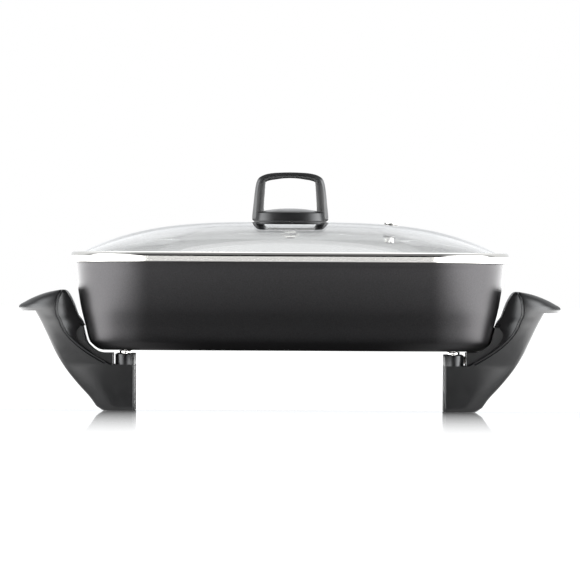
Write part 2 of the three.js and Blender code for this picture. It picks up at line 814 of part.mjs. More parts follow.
const rightLeg = geometryOf(makeLeg());
addPiece('leg_right', rightLeg, 'phenolic');
addPiece('leg_left', mirrored(rightLeg), 'phenolic');

// Inner covers: trays that follow the corner of the pan at a steady gap

function offsetLine(line, distance) {
  return line.map(([x, z], i) => {
    const [beforeX, beforeZ] = line[Math.max(0, i - 1)];
    const [afterX, afterZ] = line[Math.min(line.length - 1, i + 1)];
    const length = Math.hypot(afterX - beforeX, afterZ - beforeZ);
    return [x + ((afterZ - beforeZ) / length) * distance, z - ((afterX - beforeX) / length) * distance];
  });
}

function coverFace(gap) {
  const topZ = wallFootZ - seatGap;
  const wall = panWallShares
    .map(([high, out]) => [panHalfLength - panFlare * out, panBottomZ + panDepth * high])
    .filter(([, z]) => z < topZ - panWall);
  const face = offsetLine(wall, gap).filter(([x]) => x > shelfX + panWall);
  const topX = panHalfLength - panInset(topZ) + gap;
  return [[shelfX, panBottomZ - gap], ...face, [topX, topZ]];
}

function makeCover(gap) {
  const topZ = wallFootZ - seatGap;
  const face = coverFace(gap);
  const lowZ = footTopZ + legWall / 2;
  const behind = creaseHeights.slice(1).map((z) => [creaseX(z) + coverLap, z - coverLap]);
  const lowest = [shelfX, footTopZ - coverLap];
  const topBack = [creaseTopX + coverLap, topZ];
  const lower = behind.filter(([, z]) => z > lowest[1] && z < topZ - coverLap / 2);
  const outline = [lowest, ...lower, topBack, ...[...face].reverse()];
  const halfY = legHalfWidth - legWall - seatGap;
  let cover = solidOf(plateAcross(outline, -halfY, halfY));
  const innerFace = offsetLine(face, coverWall).slice(1);
  const innerLow = [shelfX + coverWall, panBottomZ - gap - coverWall];
  const far = overrun + coverLap;
  const inner = [
    [shelfX + coverWall, lowZ - far], [creaseTopX + far, lowZ - far], [creaseTopX + far, topZ + far],
    [innerFace[innerFace.length - 1][0], topZ + far], ...[...innerFace].reverse(), innerLow,
  ];
  const innerHalfY = halfY - coverWall;
  cover = cover.subtract(solidOf(plateAcross(inner, -innerHalfY, innerHalfY)));
  return cover.subtract(solidOf(archTunnel(legWall + seatGap)));
}

addPiece('leg_cover_right', geometryOf(makeCover(coverGapRight)), 'phenolic');
addPiece('leg_cover_left', mirrored(geometryOf(makeCover(coverGapLeft))), 'phenolic');

// Spacers, screws and washers that hold the legs to the pan

function makeSpacer(x, y) {
  const lowZ = postTopZ + seatGap;
  const body = solidOf(column(x, y, lowZ, spacerTopZ, spacerRadius, roundSides));
  const hole = column(x, y, lowZ - overrun, spacerTopZ + overrun, legScrewRadius + runGap, screwSides);
  return geometryOf(body.subtract(solidOf(hole)));
}

const washerTopZ = legScrewSeatZ - seatGap;
const legHeadTopZ = washerTopZ - washerThickness - seatGap;

function makeLegWasher(x, y) {
  const lowZ = washerTopZ - washerThickness;
  const body = solidOf(column(x, y, lowZ, washerTopZ, washerRadius, roundSides));
  const hole = column(x, y, lowZ - overrun, washerTopZ + overrun, legScrewRadius + runGap, screwSides);
  return geometryOf(body.subtract(solidOf(hole)));
}

function makeLegScrew(x, y) {
  const headZ = legHeadTopZ - legScrewHeadHeight;
  const tipZ = panBottomZ + legScrewBite;
  const profile = [
    [0, headZ], [legScrewHeadRadius, headZ], [legScrewHeadRadius, legHeadTopZ],
    [legScrewRadius, legHeadTopZ], [legScrewRadius, tipZ], [0, tipZ],
  ];
  const screw = turned(profile, screwSides);
  screw.translate(x, y, 0);
  return screw;
}

legPlaces.forEach(([x, y], i) => {
  addPiece(`leg_spacer_${cornerNames[i]}`, makeSpacer(x, y), 'steel');
  addPiece(`leg_washer_${cornerNames[i]}`, makeLegWasher(x, y), 'steel');
  addPiece(`leg_screw_${cornerNames[i]}`, makeLegScrew(x, y), 'steel');
});

// Lid rim: folded strip with a channel for the glass and a skirt inside the pan's mouth

const rimHalfLength = panHalfLength + rimOverhang;
const rimHalfWidth = panHalfWidth + rimOverhang;
const rimCornerRadius = panCornerRadius + rimCornerExtra;
const rimBottomZ = panTopZ + seatGap;
const rimTopZ = rimBottomZ + rimHeight;
const skirtOuterInset = rimOverhang + panWall + rimSkirtClearance;

function makeRim() {
  const arc = (centreZ, from) => [0, 1, 2].map((i) => {
    const angle = from + (i / 2) * (Math.PI / 2);
    return [rimRound - rimRound * Math.sin(angle), centreZ - rimRound * Math.cos(angle)];
  });
  const skirtIn = skirtOuterInset + rimSheet;
  const section = [
    ...arc(rimBottomZ + rimRound, 0),
    ...arc(rimTopZ - rimRound, Math.PI / 2),
    [rimFlange, rimTopZ],
    [rimFlange, rimTopZ - rimSheet],
    [rimSheet + rimRound / 2, rimTopZ - rimSheet],
    [rimSheet, rimTopZ - rimSheet - rimRound / 2],
    [rimSheet, rimBottomZ + rimSheet],
    [skirtIn, rimBottomZ + rimSheet],
    [skirtIn, rimBottomZ - rimSkirtDepth],
    [skirtOuterInset, rimBottomZ - rimSkirtDepth],
    [skirtOuterInset, rimBottomZ],
  ];
  return hoop(section.map(([inset, z]) => {
    return insetRing(rimHalfLength, rimHalfWidth, rimCornerRadius, inset, z);
  }));
}

addPiece('lid_rim', makeRim(), 'steel', lid);

// Lid glass

const glassApexZ = rimBottomZ + rimSheet + glassBed + glassEdgeThickness + glassRise;
const glassHalfLength = rimHalfLength - glassEdgeInset;
const glassHalfWidth = rimHalfWidth - glassEdgeInset;
const glassRadius = rimCornerRadius - glassEdgeInset;

function glassZ(share) {
  return glassApexZ - glassRise * share ** glassPower;
}

// Near the edge a ring keeps the same inset all round, and towards the middle it turns oval
function glassRing(share, z) {
  const even = (glassHalfLength - glassHalfWidth) * (1 - share) * share ** glassEvenPower;
  const halfWidth = glassHalfWidth * share - even;
  return domeRing(glassHalfLength * share, halfWidth, glassRadius * share, z, 1 - share ** 2);
}

function glassThicknessAt(share) {
  return mix(glassThickness, glassEdgeThickness, share);
}

const glassTable = glassShares.map((share) => [share, glassZ(share)]).reverse();
const ventShare = ventX / glassHalfLength;
const ventFlangeRadius = ventBarrelRadius + ventFlangeWidth;

const glassHoleRadius = knobScrewRadius + glassHoleClearance;

// Turns a geometry made about the Z axis to stand on the glass at the vent
function onVentSlope(geometry) {
  const step = ventFlangeRadius / glassHalfLength;
  const drop = readTable(glassTable, ventShare - step) - readTable(glassTable, ventShare + step);
  geometry.rotateY(Math.atan(drop / (2 * ventFlangeRadius)));
  geometry.translate(ventX, 0, readTable(glassTable, ventShare));
  return geometry;
}

function makeGlass() {
  const outer = glassShares.map((share) => glassRing(share, glassZ(share)));
  const inner = glassShares.map((share) => glassRing(share, glassZ(share) - glassThicknessAt(share)));
  const shell = [...inner.reverse(), ...outer];
  let glass = solidOf(loft(shell));
  const lowZ = glassApexZ - glassThickness - overrun;
  const screwHole = column(0, 0, lowZ, glassApexZ + overrun, glassHoleRadius, roundSides);
  glass = glass.subtract(solidOf(screwHole));
  const reach = glassThickness + overrun;
  const ventHole = onVentSlope(column(0, 0, -reach, reach, ventBarrelRadius + seatGap, roundSides));
  return glass.subtract(solidOf(ventHole));
}

addPiece('lid_glass', geometryOf(makeGlass()), 'glass', lid);

// Knob: a loop that stands on the glass, and an oval base held inside it

const sealBottomZ = glassApexZ + seatGap / 3;
const knobBottomZ = sealBottomZ + knobSealThickness + seatGap / 3;
const knobBaseHalfLength = loopHalfWidth - knobBaseEndInset;

function ovalRing(halfLength, halfWidth, z) {
  const ring = [];
  for (let i = 0; i < knobBaseSides; i += 1) {
    const angle = (i / knobBaseSides) * 2 * Math.PI;
    const c = Math.cos(angle);
    const s = Math.sin(angle);
    const reach = (Math.abs(c) ** knobOvalPower + Math.abs(s) ** knobOvalPower) ** (1 / knobOvalPower);
    ring.push(new THREE.Vector3((halfLength * c) / reach, (halfWidth * s) / reach, z));
  }
  return ring;
}

// One closed line round the loop, in X and Z, from a table of height and width shares
function loopRing(shares, halfWidth, lowZ, highZ, y) {
  const half = shares.map(([high, out]) => [halfWidth * out, mix(lowZ, highZ, high)]);
  const other = half.slice(0, -1).map(([x, z]) => [-x, z]).reverse();
  return [...half, ...other].map(([x, z]) => new THREE.Vector3(x, y, z + knobBottomZ));
}

// The loop, or the slot that it needs in the base, grown by a margin
function loopSolid(margin) {
  const outerLine = (inset, y) => {
    const highZ = loopHeight + margin - inset;
    return loopRing(loopOuterShares, loopHalfWidth + margin - inset, -margin, highZ, y);
  };
  const windowLine = (inset, y) => {
    const halfWidth = loopHalfWidth - loopSide - margin + inset;
    const highZ = loopHeight - loopCrown - margin + inset;
    return loopRing(loopWindowShares, halfWidth, loopBar + margin, highZ, y);
  };
  const faceY = loopDepth / 2 + margin;
  const rings = [-1, 1].flatMap((side) => {
    const outer = [outerLine(0, side * (faceY - loopChamfer)), outerLine(loopChamfer, side * faceY)];
    const inner = [windowLine(loopSoftEdge, side * faceY), windowLine(0, side * (faceY - loopSoftEdge))];
    return side < 0 ? [...outer, ...inner] : [...inner.reverse(), ...outer.reverse()];
  });
  return solidOf(hoop(rings));
}

// Hole for the shank of the knob's screw
function knobHole(lowZ, highZ) {
  return solidOf(column(0, 0, lowZ, highZ, knobScrewRadius + runGap, screwSides));
}

function makeLoop() {
  return loopSolid(0).subtract(knobHole(knobBottomZ - overrun, knobBottomZ + loopBar + overrun));
}

const knobEdgeZ = knobBottomZ + knobBaseHeight;
const knobScrewTopZ = knobBottomZ + knobBaseHeight * knobScrewTopShare;

function makeKnobBase() {
  const longTop = knobBaseHalfLength - knobBaseDraft;
  const wideTop = knobBaseHalfWidth - knobBaseDraft;
  const cap = knobCapShares.map((share) => {
    const z = knobEdgeZ + knobCapRise * (1 - share ** 2);
    return ovalRing(longTop * share, wideTop * share, z);
  });
  const rings = [ovalRing(knobBaseHalfLength, knobBaseHalfWidth, knobBottomZ), ...cap];
  const base = solidOf(loft(rings)).subtract(loopSolid(seatGap));
  return base.subtract(knobHole(knobBottomZ - overrun, knobScrewTopZ + seatGap));
}

function makeKnobSeal() {
  const long = knobBaseHalfLength - knobSealInset;
  const wide = knobBaseHalfWidth - knobSealInset;
  const topZ = sealBottomZ + knobSealThickness;
  const disc = solidOf(loft([ovalRing(long, wide, sealBottomZ), ovalRing(long, wide, topZ)]));
  const hole = column(0, 0, sealBottomZ - overrun, topZ + overrun, glassHoleRadius, roundSides);
  return disc.subtract(solidOf(hole));
}

const washerHighZ = glassApexZ - glassThickness - seatGap;
const washerLowZ = washerHighZ - knobWasherThickness;

function makeKnobWasher() {
  const disc = solidOf(column(0, 0, washerLowZ, washerHighZ, knobWasherRadius, roundSides));
  return disc.subtract(knobHole(washerLowZ - overrun, washerHighZ + overrun));
}

function makeKnobScrew() {
  const headTopZ = washerLowZ - seatGap;
  const headZ = headTopZ - knobScrewHeadHeight;
  const profile = [
    [0, headZ], [knobScrewHeadRadius - knobScrewHeadChamfer, headZ],
    [knobScrewHeadRadius, headZ + knobScrewHeadChamfer],
    [knobScrewHeadRadius, headTopZ], [knobScrewRadius, headTopZ], [knobScrewRadius, knobScrewTopZ],
    [0, knobScrewTopZ],
  ];
  return turned(profile, screwSides);
}

addPiece('knob_loop', geometryOf(makeLoop()), 'phenolic', lid);
addPiece('knob_base', geometryOf(makeKnobBase()), 'phenolic', lid);
addPiece('knob_seal', geometryOf(makeKnobSeal()), 'silicone', lid);
addPiece('knob_washer', geometryOf(makeKnobWasher()), 'steel', lid);
addPiece('knob_screw', makeKnobScrew(), 'steel', lid);

// Steam vent: an eyelet through the glass, held by a ring beneath

function makeEyelet() {
  const flangeLow = seatGap;
  const flangeTop = flangeLow + ventFlangeHeight;
  const shoulder = ventFlangeHeight / 2;
  const bore = ventBarrelRadius - ventWall;
  const profile = [
    [bore, -ventBarrelLength], [ventBarrelRadius, -ventBarrelLength], [ventBarrelRadius, flangeLow],
    [ventFlangeRadius, flangeLow], [ventFlangeRadius, flangeTop - shoulder],
    [ventFlangeRadius - shoulder, flangeTop], [bore + shoulder, flangeTop],
    [bore, flangeTop - shoulder], [bore, -ventBarrelLength],
  ];
  return onVentSlope(turned(profile, roundSides));
}

function makeVentRing() {
  const highZ = -glassThicknessAt(ventShare) - seatGap;
  const lowZ = highZ - ventRingHeight;
  const inner = ventBarrelRadius + seatGap;
  const outer = ventBarrelRadius + ventRingWidth;
  const profile = [[inner, lowZ], [outer, lowZ], [outer, highZ], [inner, highZ], [inner, lowZ]];
  return onVentSlope(turned(profile, roundSides));
}

addPiece('vent_eyelet', makeEyelet(), 'steel', lid);
addPiece('vent_ring', makeVentRing(), 'silicone', lid);

export default skillet;
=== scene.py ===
# %% [markdown]
# # An electric skillet with a glass lid
# The solids of the skillet come ready from CAD, faceted and without finish. This lesson dresses
# them: it rebuilds what shows with fine, rounded meshes in the same place, and gives each piece
# the finish that the real one has.

# %% Load the solids
import math
from collections import namedtuple

import bmesh
import bpy
from mathutils import Matrix, Vector


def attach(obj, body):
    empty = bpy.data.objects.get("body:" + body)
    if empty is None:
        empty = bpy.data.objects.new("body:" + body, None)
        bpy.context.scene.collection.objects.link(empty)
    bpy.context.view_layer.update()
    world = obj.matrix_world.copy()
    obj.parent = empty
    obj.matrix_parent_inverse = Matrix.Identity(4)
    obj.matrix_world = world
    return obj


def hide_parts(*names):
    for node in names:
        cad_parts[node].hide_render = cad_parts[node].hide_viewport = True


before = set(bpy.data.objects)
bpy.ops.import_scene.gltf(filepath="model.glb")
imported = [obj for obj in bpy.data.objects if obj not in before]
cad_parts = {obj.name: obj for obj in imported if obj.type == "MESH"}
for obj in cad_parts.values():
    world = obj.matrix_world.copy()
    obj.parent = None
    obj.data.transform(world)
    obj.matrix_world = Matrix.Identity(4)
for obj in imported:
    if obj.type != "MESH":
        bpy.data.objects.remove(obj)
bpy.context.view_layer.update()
print("solids loaded:", len(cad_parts))

# %% [markdown]
# The skillet is written in millimetres, as on a maker's drawing, and turned to metres once, where a
# mesh is made. The distance of the camera, the lamp and the floor are in metres. Colours are written
# as on a paint chart, and one function turns them to the linear values that light is added up in.
#
# Two sizes come back everywhere. Pieces that rest in or on each other stay a seat's gap apart, and
# a tool that cuts reaches well beyond what it cuts.

# %% Units and colours
MM = 0.001
SEAT_GAP = 0.3
BEYOND = 5


def linear(chart_colour):
    """A #rrggbb colour as linear red, green, blue and alpha."""
    channels = [int(chart_colour[i:i + 2], 16) / 255 for i in (1, 3, 5)]
    return [c / 12.92 if c <= 0.04045 else ((c + 0.055) / 1.055) ** 2.4 for c in channels] + [1]


def per_metre(size):
    """How often a pattern of this size in millimetres repeats in a metre."""
    return 1 / (size * MM)


# %% [markdown]
# The photograph was taken from far away with a long lens, level with the top edge of the pan. A
# lens of that length keeps the far side of the lid nearly as large as the near side. The sensor is
# shifted instead of tilting the camera, so upright edges stay upright, and a small roll follows
# the way the skillet stands in the picture.

# %% Camera
CAMERA_DISTANCE = 20
CAMERA_HEIGHT = 140.7
FRAME_WIDTH = 547.5
FRAME_PIXELS = 580
HORIZON_ABOVE_MIDDLE = 28
ROLL_DEGREES = -0.3

lens = bpy.data.cameras.new("long_lens")
lens.sensor_width = 36
lens.lens = lens.sensor_width * CAMERA_DISTANCE / (FRAME_WIDTH * MM)
lens.shift_y = -HORIZON_ABOVE_MIDDLE / FRAME_PIXELS
lens.clip_end = 100
camera = bpy.data.objects.new("camera", lens)
camera.location = (0, -CAMERA_DISTANCE, CAMERA_HEIGHT * MM)
camera.rotation_euler = (math.pi / 2, math.radians(ROLL_DEGREES), 0)
bpy.context.collection.objects.link(camera)
bpy.context.scene.camera = camera
bpy.context.scene.view_settings.view_transform = "Standard"
print("lens", round(lens.lens), "mm")

# %% [markdown]
# A material or a Geometry Nodes tree is a chain of nodes. One small function adds a node with its
# settings and links, so that each tree below reads as a list of what it does.


# %% Adding a node
def add_node(tree, kind, settings=None, inputs=None):
    """Adds a node. An input takes a value, or another node's output to link from."""
    node = tree.nodes.new(kind)
    for name, value in (settings or {}).items():
        setattr(node, name, value)
    for name, value in (inputs or {}).items():
        if isinstance(value, bpy.types.NodeSocket):
            tree.links.new(value, node.inputs[name])
        else:
            node.inputs[name].default_value = value
    return node


def new_material(name):
    """An empty material, with its output node."""
    material = bpy.data.materials.new(name)
    material.use_nodes = True
    material.node_tree.nodes.clear()
    output = add_node(material.node_tree, "ShaderNodeOutputMaterial")
    return material, material.node_tree, output


# %% [markdown]
# The room round the skillet is a smooth field of light. It is bright at both sides in front, the
# right side more than the left, and dark straight ahead, where the camera stands: that gives
# polished steel its black line and a black moulding its depth. The light grows evenly from one to
# the other, so that no highlight has a hard edge. The wall behind is white, and a brighter patch on
# it lets the glass shine along its upper edge. What the camera sees directly is plain white, and
# what it sees through the glass a little less.
#
# Each range below is a stretch of one part of a direction, from -1 to 1: X to the right, Y to the
# back or Z upwards.

# %% World
AISLE_LIGHT = 0.02
LEFT_LIGHT, RIGHT_LIGHT = 5.4, 7
SIDE_SPREAD = (0.2, 0.85)
SIDE_CHANGE = (-0.1, 0.1)
SIDE_DEPTH = (-0.25, 0.2)
SIDE_TOP = (0.4, 0.75)
SIDE_TOP_SHARE = 0.1
BACK_LIGHT = 1.02
BACK_DEPTH = (-0.1, 0.5)
BACK_FADE = (0.02, 0.1)
BACK_TOP_SHARE = 0.88
PATCH_LIGHT = 0.75
PATCH_FOOT, PATCH_TOP = (0.1, 0.25), (0.45, 0.6)
PATCH_SPREAD = (0.03, 0.2)
PATCH_DEPTH = (0, 0.3)
CEILING_LIGHT = 0.3
CEILING_RISE = (0.4, 0.9)
SEEN_THROUGH_GLASS = 0.74


def climb(tree, value, start, end, low=0.0, high=1.0):
    """Output that eases from low to high while the value goes from start to end."""
    return add_node(tree, "ShaderNodeMapRange", {"interpolation_type": "SMOOTHSTEP"}, {
        "Value": value, "From Min": start, "From Max": end, "To Min": low, "To Max": high,
    }).outputs["Result"]


def reckon(tree, operation, first, *others):
    """Output of a sum on values or outputs, taken one after the other."""
    if not others:
        return add_node(tree, "ShaderNodeMath", {"operation": operation}, {0: first}).outputs["Value"]
    for other in others:
        step = add_node(tree, "ShaderNodeMath", {"operation": operation}, {0: first, 1: other})
        first = step.outputs["Value"]
    return first


world = bpy.data.worlds.new("studio")
bpy.context.scene.world = world
world.use_nodes = True
sky = world.node_tree
sky.nodes.clear()
direction = add_node(sky, "ShaderNodeTexCoord")
parts = add_node(sky, "ShaderNodeSeparateXYZ", inputs={"Vector": direction.outputs["Generated"]})
sideways, depth, height = parts.outputs
off_axis = reckon(sky, "ABSOLUTE", sideways)
sides = reckon(
    sky, "MULTIPLY", climb(sky, off_axis, *SIDE_SPREAD),
    climb(sky, sideways, *SIDE_CHANGE, LEFT_LIGHT, RIGHT_LIGHT),
    climb(sky, height, *SIDE_TOP, 1, SIDE_TOP_SHARE), climb(sky, depth, *SIDE_DEPTH, 1, 0),
)
wall = reckon(
    sky, "MULTIPLY", climb(sky, depth, *BACK_DEPTH, AISLE_LIGHT, BACK_LIGHT),
    climb(sky, height, *BACK_FADE, 1, BACK_TOP_SHARE),
)
patch = reckon(
    sky, "MULTIPLY", climb(sky, height, *PATCH_FOOT, 0, PATCH_LIGHT), climb(sky, height, *PATCH_TOP, 1, 0),
    climb(sky, off_axis, *PATCH_SPREAD, 1, 0), climb(sky, depth, *PATCH_DEPTH),
)
ceiling = climb(sky, height, *CEILING_RISE, 0, CEILING_LIGHT)
room = reckon(sky, "ADD", reckon(sky, "ADD", sides, wall), reckon(sky, "ADD", patch, ceiling))
rays = add_node(sky, "ShaderNodeLightPath").outputs
through = reckon(sky, "MULTIPLY", rays["Is Transmission Ray"], SEEN_THROUGH_GLASS)
white = add_node(sky, "ShaderNodeBackground", inputs={
    "Color": linear("#ffffff"), "Strength": reckon(sky, "MAXIMUM", rays["Is Camera Ray"], through),
})
around = add_node(sky, "ShaderNodeBackground", inputs={"Color": linear("#fbfdff"), "Strength": room})
seen = reckon(sky, "MAXIMUM", rays["Is Camera Ray"], rays["Is Transmission Ray"])
choice = add_node(sky, "ShaderNodeMixShader", inputs={0: seen, 1: around.outputs[0], 2: white.outputs[0]})
add_node(sky, "ShaderNodeOutputWorld", inputs={"Surface": choice.outputs[0]})

# %% Lamp above, behind the skillet
LAMP_PLACE = Vector((0, 0.6, 1.7))
LAMP_AIM = Vector((0, 0, 0.1))
LAMP_LENGTH, LAMP_WIDTH = 1.6, 0.8
LAMP_WHITENESS = 1

light = bpy.data.lights.new("lamp_top", "AREA")
light.shape = "RECTANGLE"
light.size, light.size_y = LAMP_LENGTH, LAMP_WIDTH
light.energy = LAMP_WHITENESS * math.pi * LAMP_LENGTH * LAMP_WIDTH
lamp = bpy.data.objects.new("lamp_top", light)
lamp.location = LAMP_PLACE
lamp.rotation_euler = (LAMP_AIM - LAMP_PLACE).to_track_quat("-Z", "Y").to_euler()
lamp.visible_camera = False
bpy.context.collection.objects.link(lamp)

# %% [markdown]
# The floor is white board. From the skillet towards the camera it is polished, less and less so, and
# the mirror image of the feet fades within a finger's width of the picture. Behind the skillet it is
# matt. For mirrored rays only, the floor glows as a painted reflection: bright far out at both sides
# and grey between, with a painted dark patch just in front that keeps the leaning front of the pan
# dark. Level with the skillet the glowing parts reach a little further in than they do in front of it.

# %% Floor
FLOOR_HALF = 45
FLOOR_SEEN_WHITE = 0.9
# Painted reflection: strength of the floor's glow that only mirrored rays see, ahead and beside.
PAINTED_GLOW_AHEAD, PAINTED_GLOW_BESIDE = 0.6, 6
BESIDE = (0.33, 0.47)
NEARBY = (-0.25, -0.12)
NEARBY_SHIFT = -0.07
POLISH_START, POLISH_END = -0.15, -3.4
POLISH_MOST = 0.99
POLISH_POWER = 1.5
MATT_BEHIND = (0, 0.2)
# Painted dark reflection: a dark patch in front of the pan that only mirrored rays see.
PAINTED_DARK_MIDDLE = -0.35
PAINTED_DARK_LENGTH_EDGE = (0.15, 0.25)
PAINTED_DARK_DEPTH_EDGE = (0.6, 0.7)

floor_mesh = bpy.data.meshes.new("floor")
corners = [(x * FLOOR_HALF, y * FLOOR_HALF, 0) for x, y in ((-1, -1), (1, -1), (1, 1), (-1, 1))]
floor_mesh.from_pydata(corners, [], [(0, 1, 2, 3)])
floor = bpy.data.objects.new("floor", floor_mesh)
bpy.context.collection.objects.link(floor)
board, nodes, output = new_material("white_board")
rays = add_node(nodes, "ShaderNodeLightPath").outputs
where = add_node(nodes, "ShaderNodeTexCoord").outputs["Object"]
across, depth, _ = add_node(nodes, "ShaderNodeSeparateXYZ", inputs={"Vector": where}).outputs
nearby = climb(nodes, depth, *NEARBY, 0, NEARBY_SHIFT)
off_side = reckon(nodes, "SUBTRACT", reckon(nodes, "ABSOLUTE", across), nearby)
# Painted reflection: the glow that mirrored rays see on the floor, brighter far out at the sides.
painted_reflection_glow = climb(nodes, off_side, *BESIDE, PAINTED_GLOW_AHEAD, PAINTED_GLOW_BESIDE)
white_and_painted_glow = reckon(
    nodes, "ADD", reckon(nodes, "MULTIPLY", rays["Is Camera Ray"], FLOOR_SEEN_WHITE),
    reckon(nodes, "MULTIPLY", rays["Is Glossy Ray"], painted_reflection_glow),
)
matt = add_node(nodes, "ShaderNodeBsdfPrincipled", inputs={
    "Base Color": linear("#828282"), "Roughness": 1, "Specular IOR Level": 0,
    "Emission Color": linear("#ffffff"), "Emission Strength": white_and_painted_glow,
})
polished = add_node(nodes, "ShaderNodeBsdfPrincipled", inputs={
    "Base Color": linear("#f2f2f2"), "Roughness": 0.01, "IOR": 1.45,
})
near = add_node(nodes, "ShaderNodeMapRange", inputs={
    "Value": depth, "From Min": POLISH_END, "From Max": POLISH_START,
}).outputs["Result"]
polish = reckon(
    nodes, "MULTIPLY", reckon(nodes, "POWER", near, POLISH_POWER),
    climb(nodes, depth, *MATT_BEHIND, POLISH_MOST, 0), rays["Is Camera Ray"],
)
surface = add_node(nodes, "ShaderNodeMixShader", inputs={
    0: polish, 1: matt.outputs[0], 2: polished.outputs[0],
})
# Painted dark patch in front of the pan, seen in mirrored rays only, never by the camera.
off_middle = reckon(nodes, "ABSOLUTE", reckon(nodes, "SUBTRACT", depth, PAINTED_DARK_MIDDLE))
on_painted_dark = reckon(
    nodes, "MULTIPLY", climb(nodes, off_side, *PAINTED_DARK_LENGTH_EDGE, 1, 0),
    climb(nodes, off_middle, *PAINTED_DARK_DEPTH_EDGE, 1, 0), rays["Is Glossy Ray"],
)
painted_dark_reflection = add_node(nodes, "ShaderNodeBsdfDiffuse", inputs={"Color": linear("#606060")})
with_painted_dark = add_node(nodes, "ShaderNodeMixShader", inputs={0: on_painted_dark, 1: surface.outputs[0], 2: painted_dark_reflection.outputs[0]})
nodes.links.new(with_painted_dark.outputs[0], output.inputs["Surface"])
floor_mesh.materials.append(board)

# %% [markdown]
# ## Finishes
# Every finish is made of the same few parts: a pattern with patches of a real size, a tone and a
# gloss that wander with it, and a slight relief.

# %% Parts of a finish
PATTERN_RANGE = (0.3, 0.7)


def noise(nodes, size, detail, roughness=0.5, distortion=0.0):
    """Output of a pattern whose patches are about this many millimetres across."""
    where = add_node(nodes, "ShaderNodeTexCoord").outputs["Object"]
    return add_node(nodes, "ShaderNodeTexNoise", inputs={
        "Vector": where, "Scale": per_metre(size), "Detail": detail, "Roughness": roughness,
        "Distortion": distortion,
    }).outputs["Fac"]


def tone(nodes, pattern, start, end, low, high):
    """Output that goes from one chart colour to the other while the pattern goes from start to end."""
    ramp = add_node(nodes, "ShaderNodeValToRGB", inputs={"Fac": pattern})
    first, last = ramp.color_ramp.elements
    first.position, last.position = start, end
    first.color, last.color = linear(low), linear(high)
    return ramp.outputs["Color"]


def gloss(nodes, pattern, low, high):
    """Output of a roughness that wanders between two values with the pattern."""
    start, end = PATTERN_RANGE
    return add_node(nodes, "ShaderNodeMapRange", inputs={
        "Value": pattern, "From Min": start, "From Max": end, "To Min": low, "To Max": high,
    }).outputs["Result"]


def relief(nodes, pattern, strength, height):
    """Output of a surface that rises by a height in millimetres with the pattern."""
    return add_node(nodes, "ShaderNodeBump", inputs={
        "Strength": strength, "Distance": height * MM, "Height": pattern,
    }).outputs["Normal"]


def finished(material, nodes, output, inputs):
    """The material, with a surface that has these inputs."""
    surface = add_node(nodes, "ShaderNodeBsdfPrincipled", inputs=inputs)
    nodes.links.new(surface.outputs[0], output.inputs["Surface"])
    return material


# %% [markdown]
# The pan is cast aluminium, sprayed with a graphite-coloured non-stick coat and baked. The coat is
# a satin film with fine mineral flakes in it: it takes broad, soft highlights, and close up it has
# the slight pebble of any sprayed film.

# %% Sprayed graphite coat
COAT_GRAIN = 1.1
COAT_PEBBLE = 0.7


def graphite_coat():
    material, nodes, output = new_material("sprayed_graphite_coat")
    flakes = noise(nodes, COAT_GRAIN, 3, 0.6)
    return finished(material, nodes, output, {
        "Base Color": tone(nodes, flakes, 0.3, 0.72, "#3b3a3b", "#454445"),
        "Roughness": gloss(nodes, flakes, 0.36, 0.42), "Metallic": 0.92, "IOR": 1.6,
        "Normal": relief(nodes, noise(nodes, COAT_PEBBLE, 2), 0.12, 0.05),
    })


# %% [markdown]
# Legs, handles and knob are black phenolic, pressed in a polished steel die. It is harder and a
# little glossier than most plastics, with a faint unevenness where the powder flowed.

# %% Pressed phenolic
FLOW_MARKS = 9
DIE_GRAIN = 1.2


def pressed_phenolic():
    material, nodes, output = new_material("pressed_phenolic")
    flow = noise(nodes, FLOW_MARKS, 3, distortion=0.6)
    return finished(material, nodes, output, {
        "Base Color": tone(nodes, flow, 0.3, 0.75, "#0e0e0f", "#141415"),
        "Roughness": gloss(nodes, flow, 0.28, 0.33), "IOR": 1.62,
        "Normal": relief(nodes, noise(nodes, DIE_GRAIN, 2), 0.06, 0.03),
    })


# %% [markdown]
# The rim and the small hardware are stainless steel, buffed to a mirror. Buffing leaves hair-fine
# wiping marks, so the gloss wanders a little along the strip.

# %% Buffed stainless steel
WIPE_MARKS = 4


def buffed_steel():
    material, nodes, output = new_material("buffed_stainless_steel")
    wiping = noise(nodes, WIPE_MARKS, 4, 0.7)
    return finished(material, nodes, output, {
        "Base Color": linear("#e6e4e0"), "Metallic": 1, "Roughness": gloss(nodes, wiping, 0.07, 0.13),
    })


# %% [markdown]
# The sheath of a tubular element is steel too, but every heating has left oxide on it: dull,
# brown to blue-grey, and uneven.

# %% Heat-darkened sheath
HEAT_PATCHES = 14


def heated_sheath():
    material, nodes, output = new_material("heat_darkened_sheath")
    patches = noise(nodes, HEAT_PATCHES, 5, 0.6)
    return finished(material, nodes, output, {
        "Base Color": tone(nodes, patches, 0.32, 0.7, "#4d4642", "#8b8680"),
        "Metallic": 0.9, "Roughness": 0.46,
    })


# %% [markdown]
# The lid is tempered soda-lime glass: clear, with a trace of green that gathers towards the edge.
# The insulator is steatite, a white unglazed ceramic, and the seals are matt black silicone.

# %% Glass, ceramic and silicone
STEATITE_SPECKS = 1.6
SILICONE_GRAIN = 1


def tempered_glass():
    material, nodes, output = new_material("tempered_glass")
    return finished(material, nodes, output, {
        "Base Color": linear("#f8f9f9"), "Roughness": 0, "IOR": 1.52, "Transmission Weight": 1,
    })


def speckled(name, size, low, high, roughness, ior):
    """A matt finish whose tone wanders between two colours in specks of one size."""
    material, nodes, output = new_material(name)
    specks = noise(nodes, size, 3)
    return finished(material, nodes, output, {
        "Base Color": tone(nodes, specks, 0.35, 0.65, low, high), "Roughness": roughness, "IOR": ior,
        "Normal": relief(nodes, specks, 0.2, 0.05),
    })


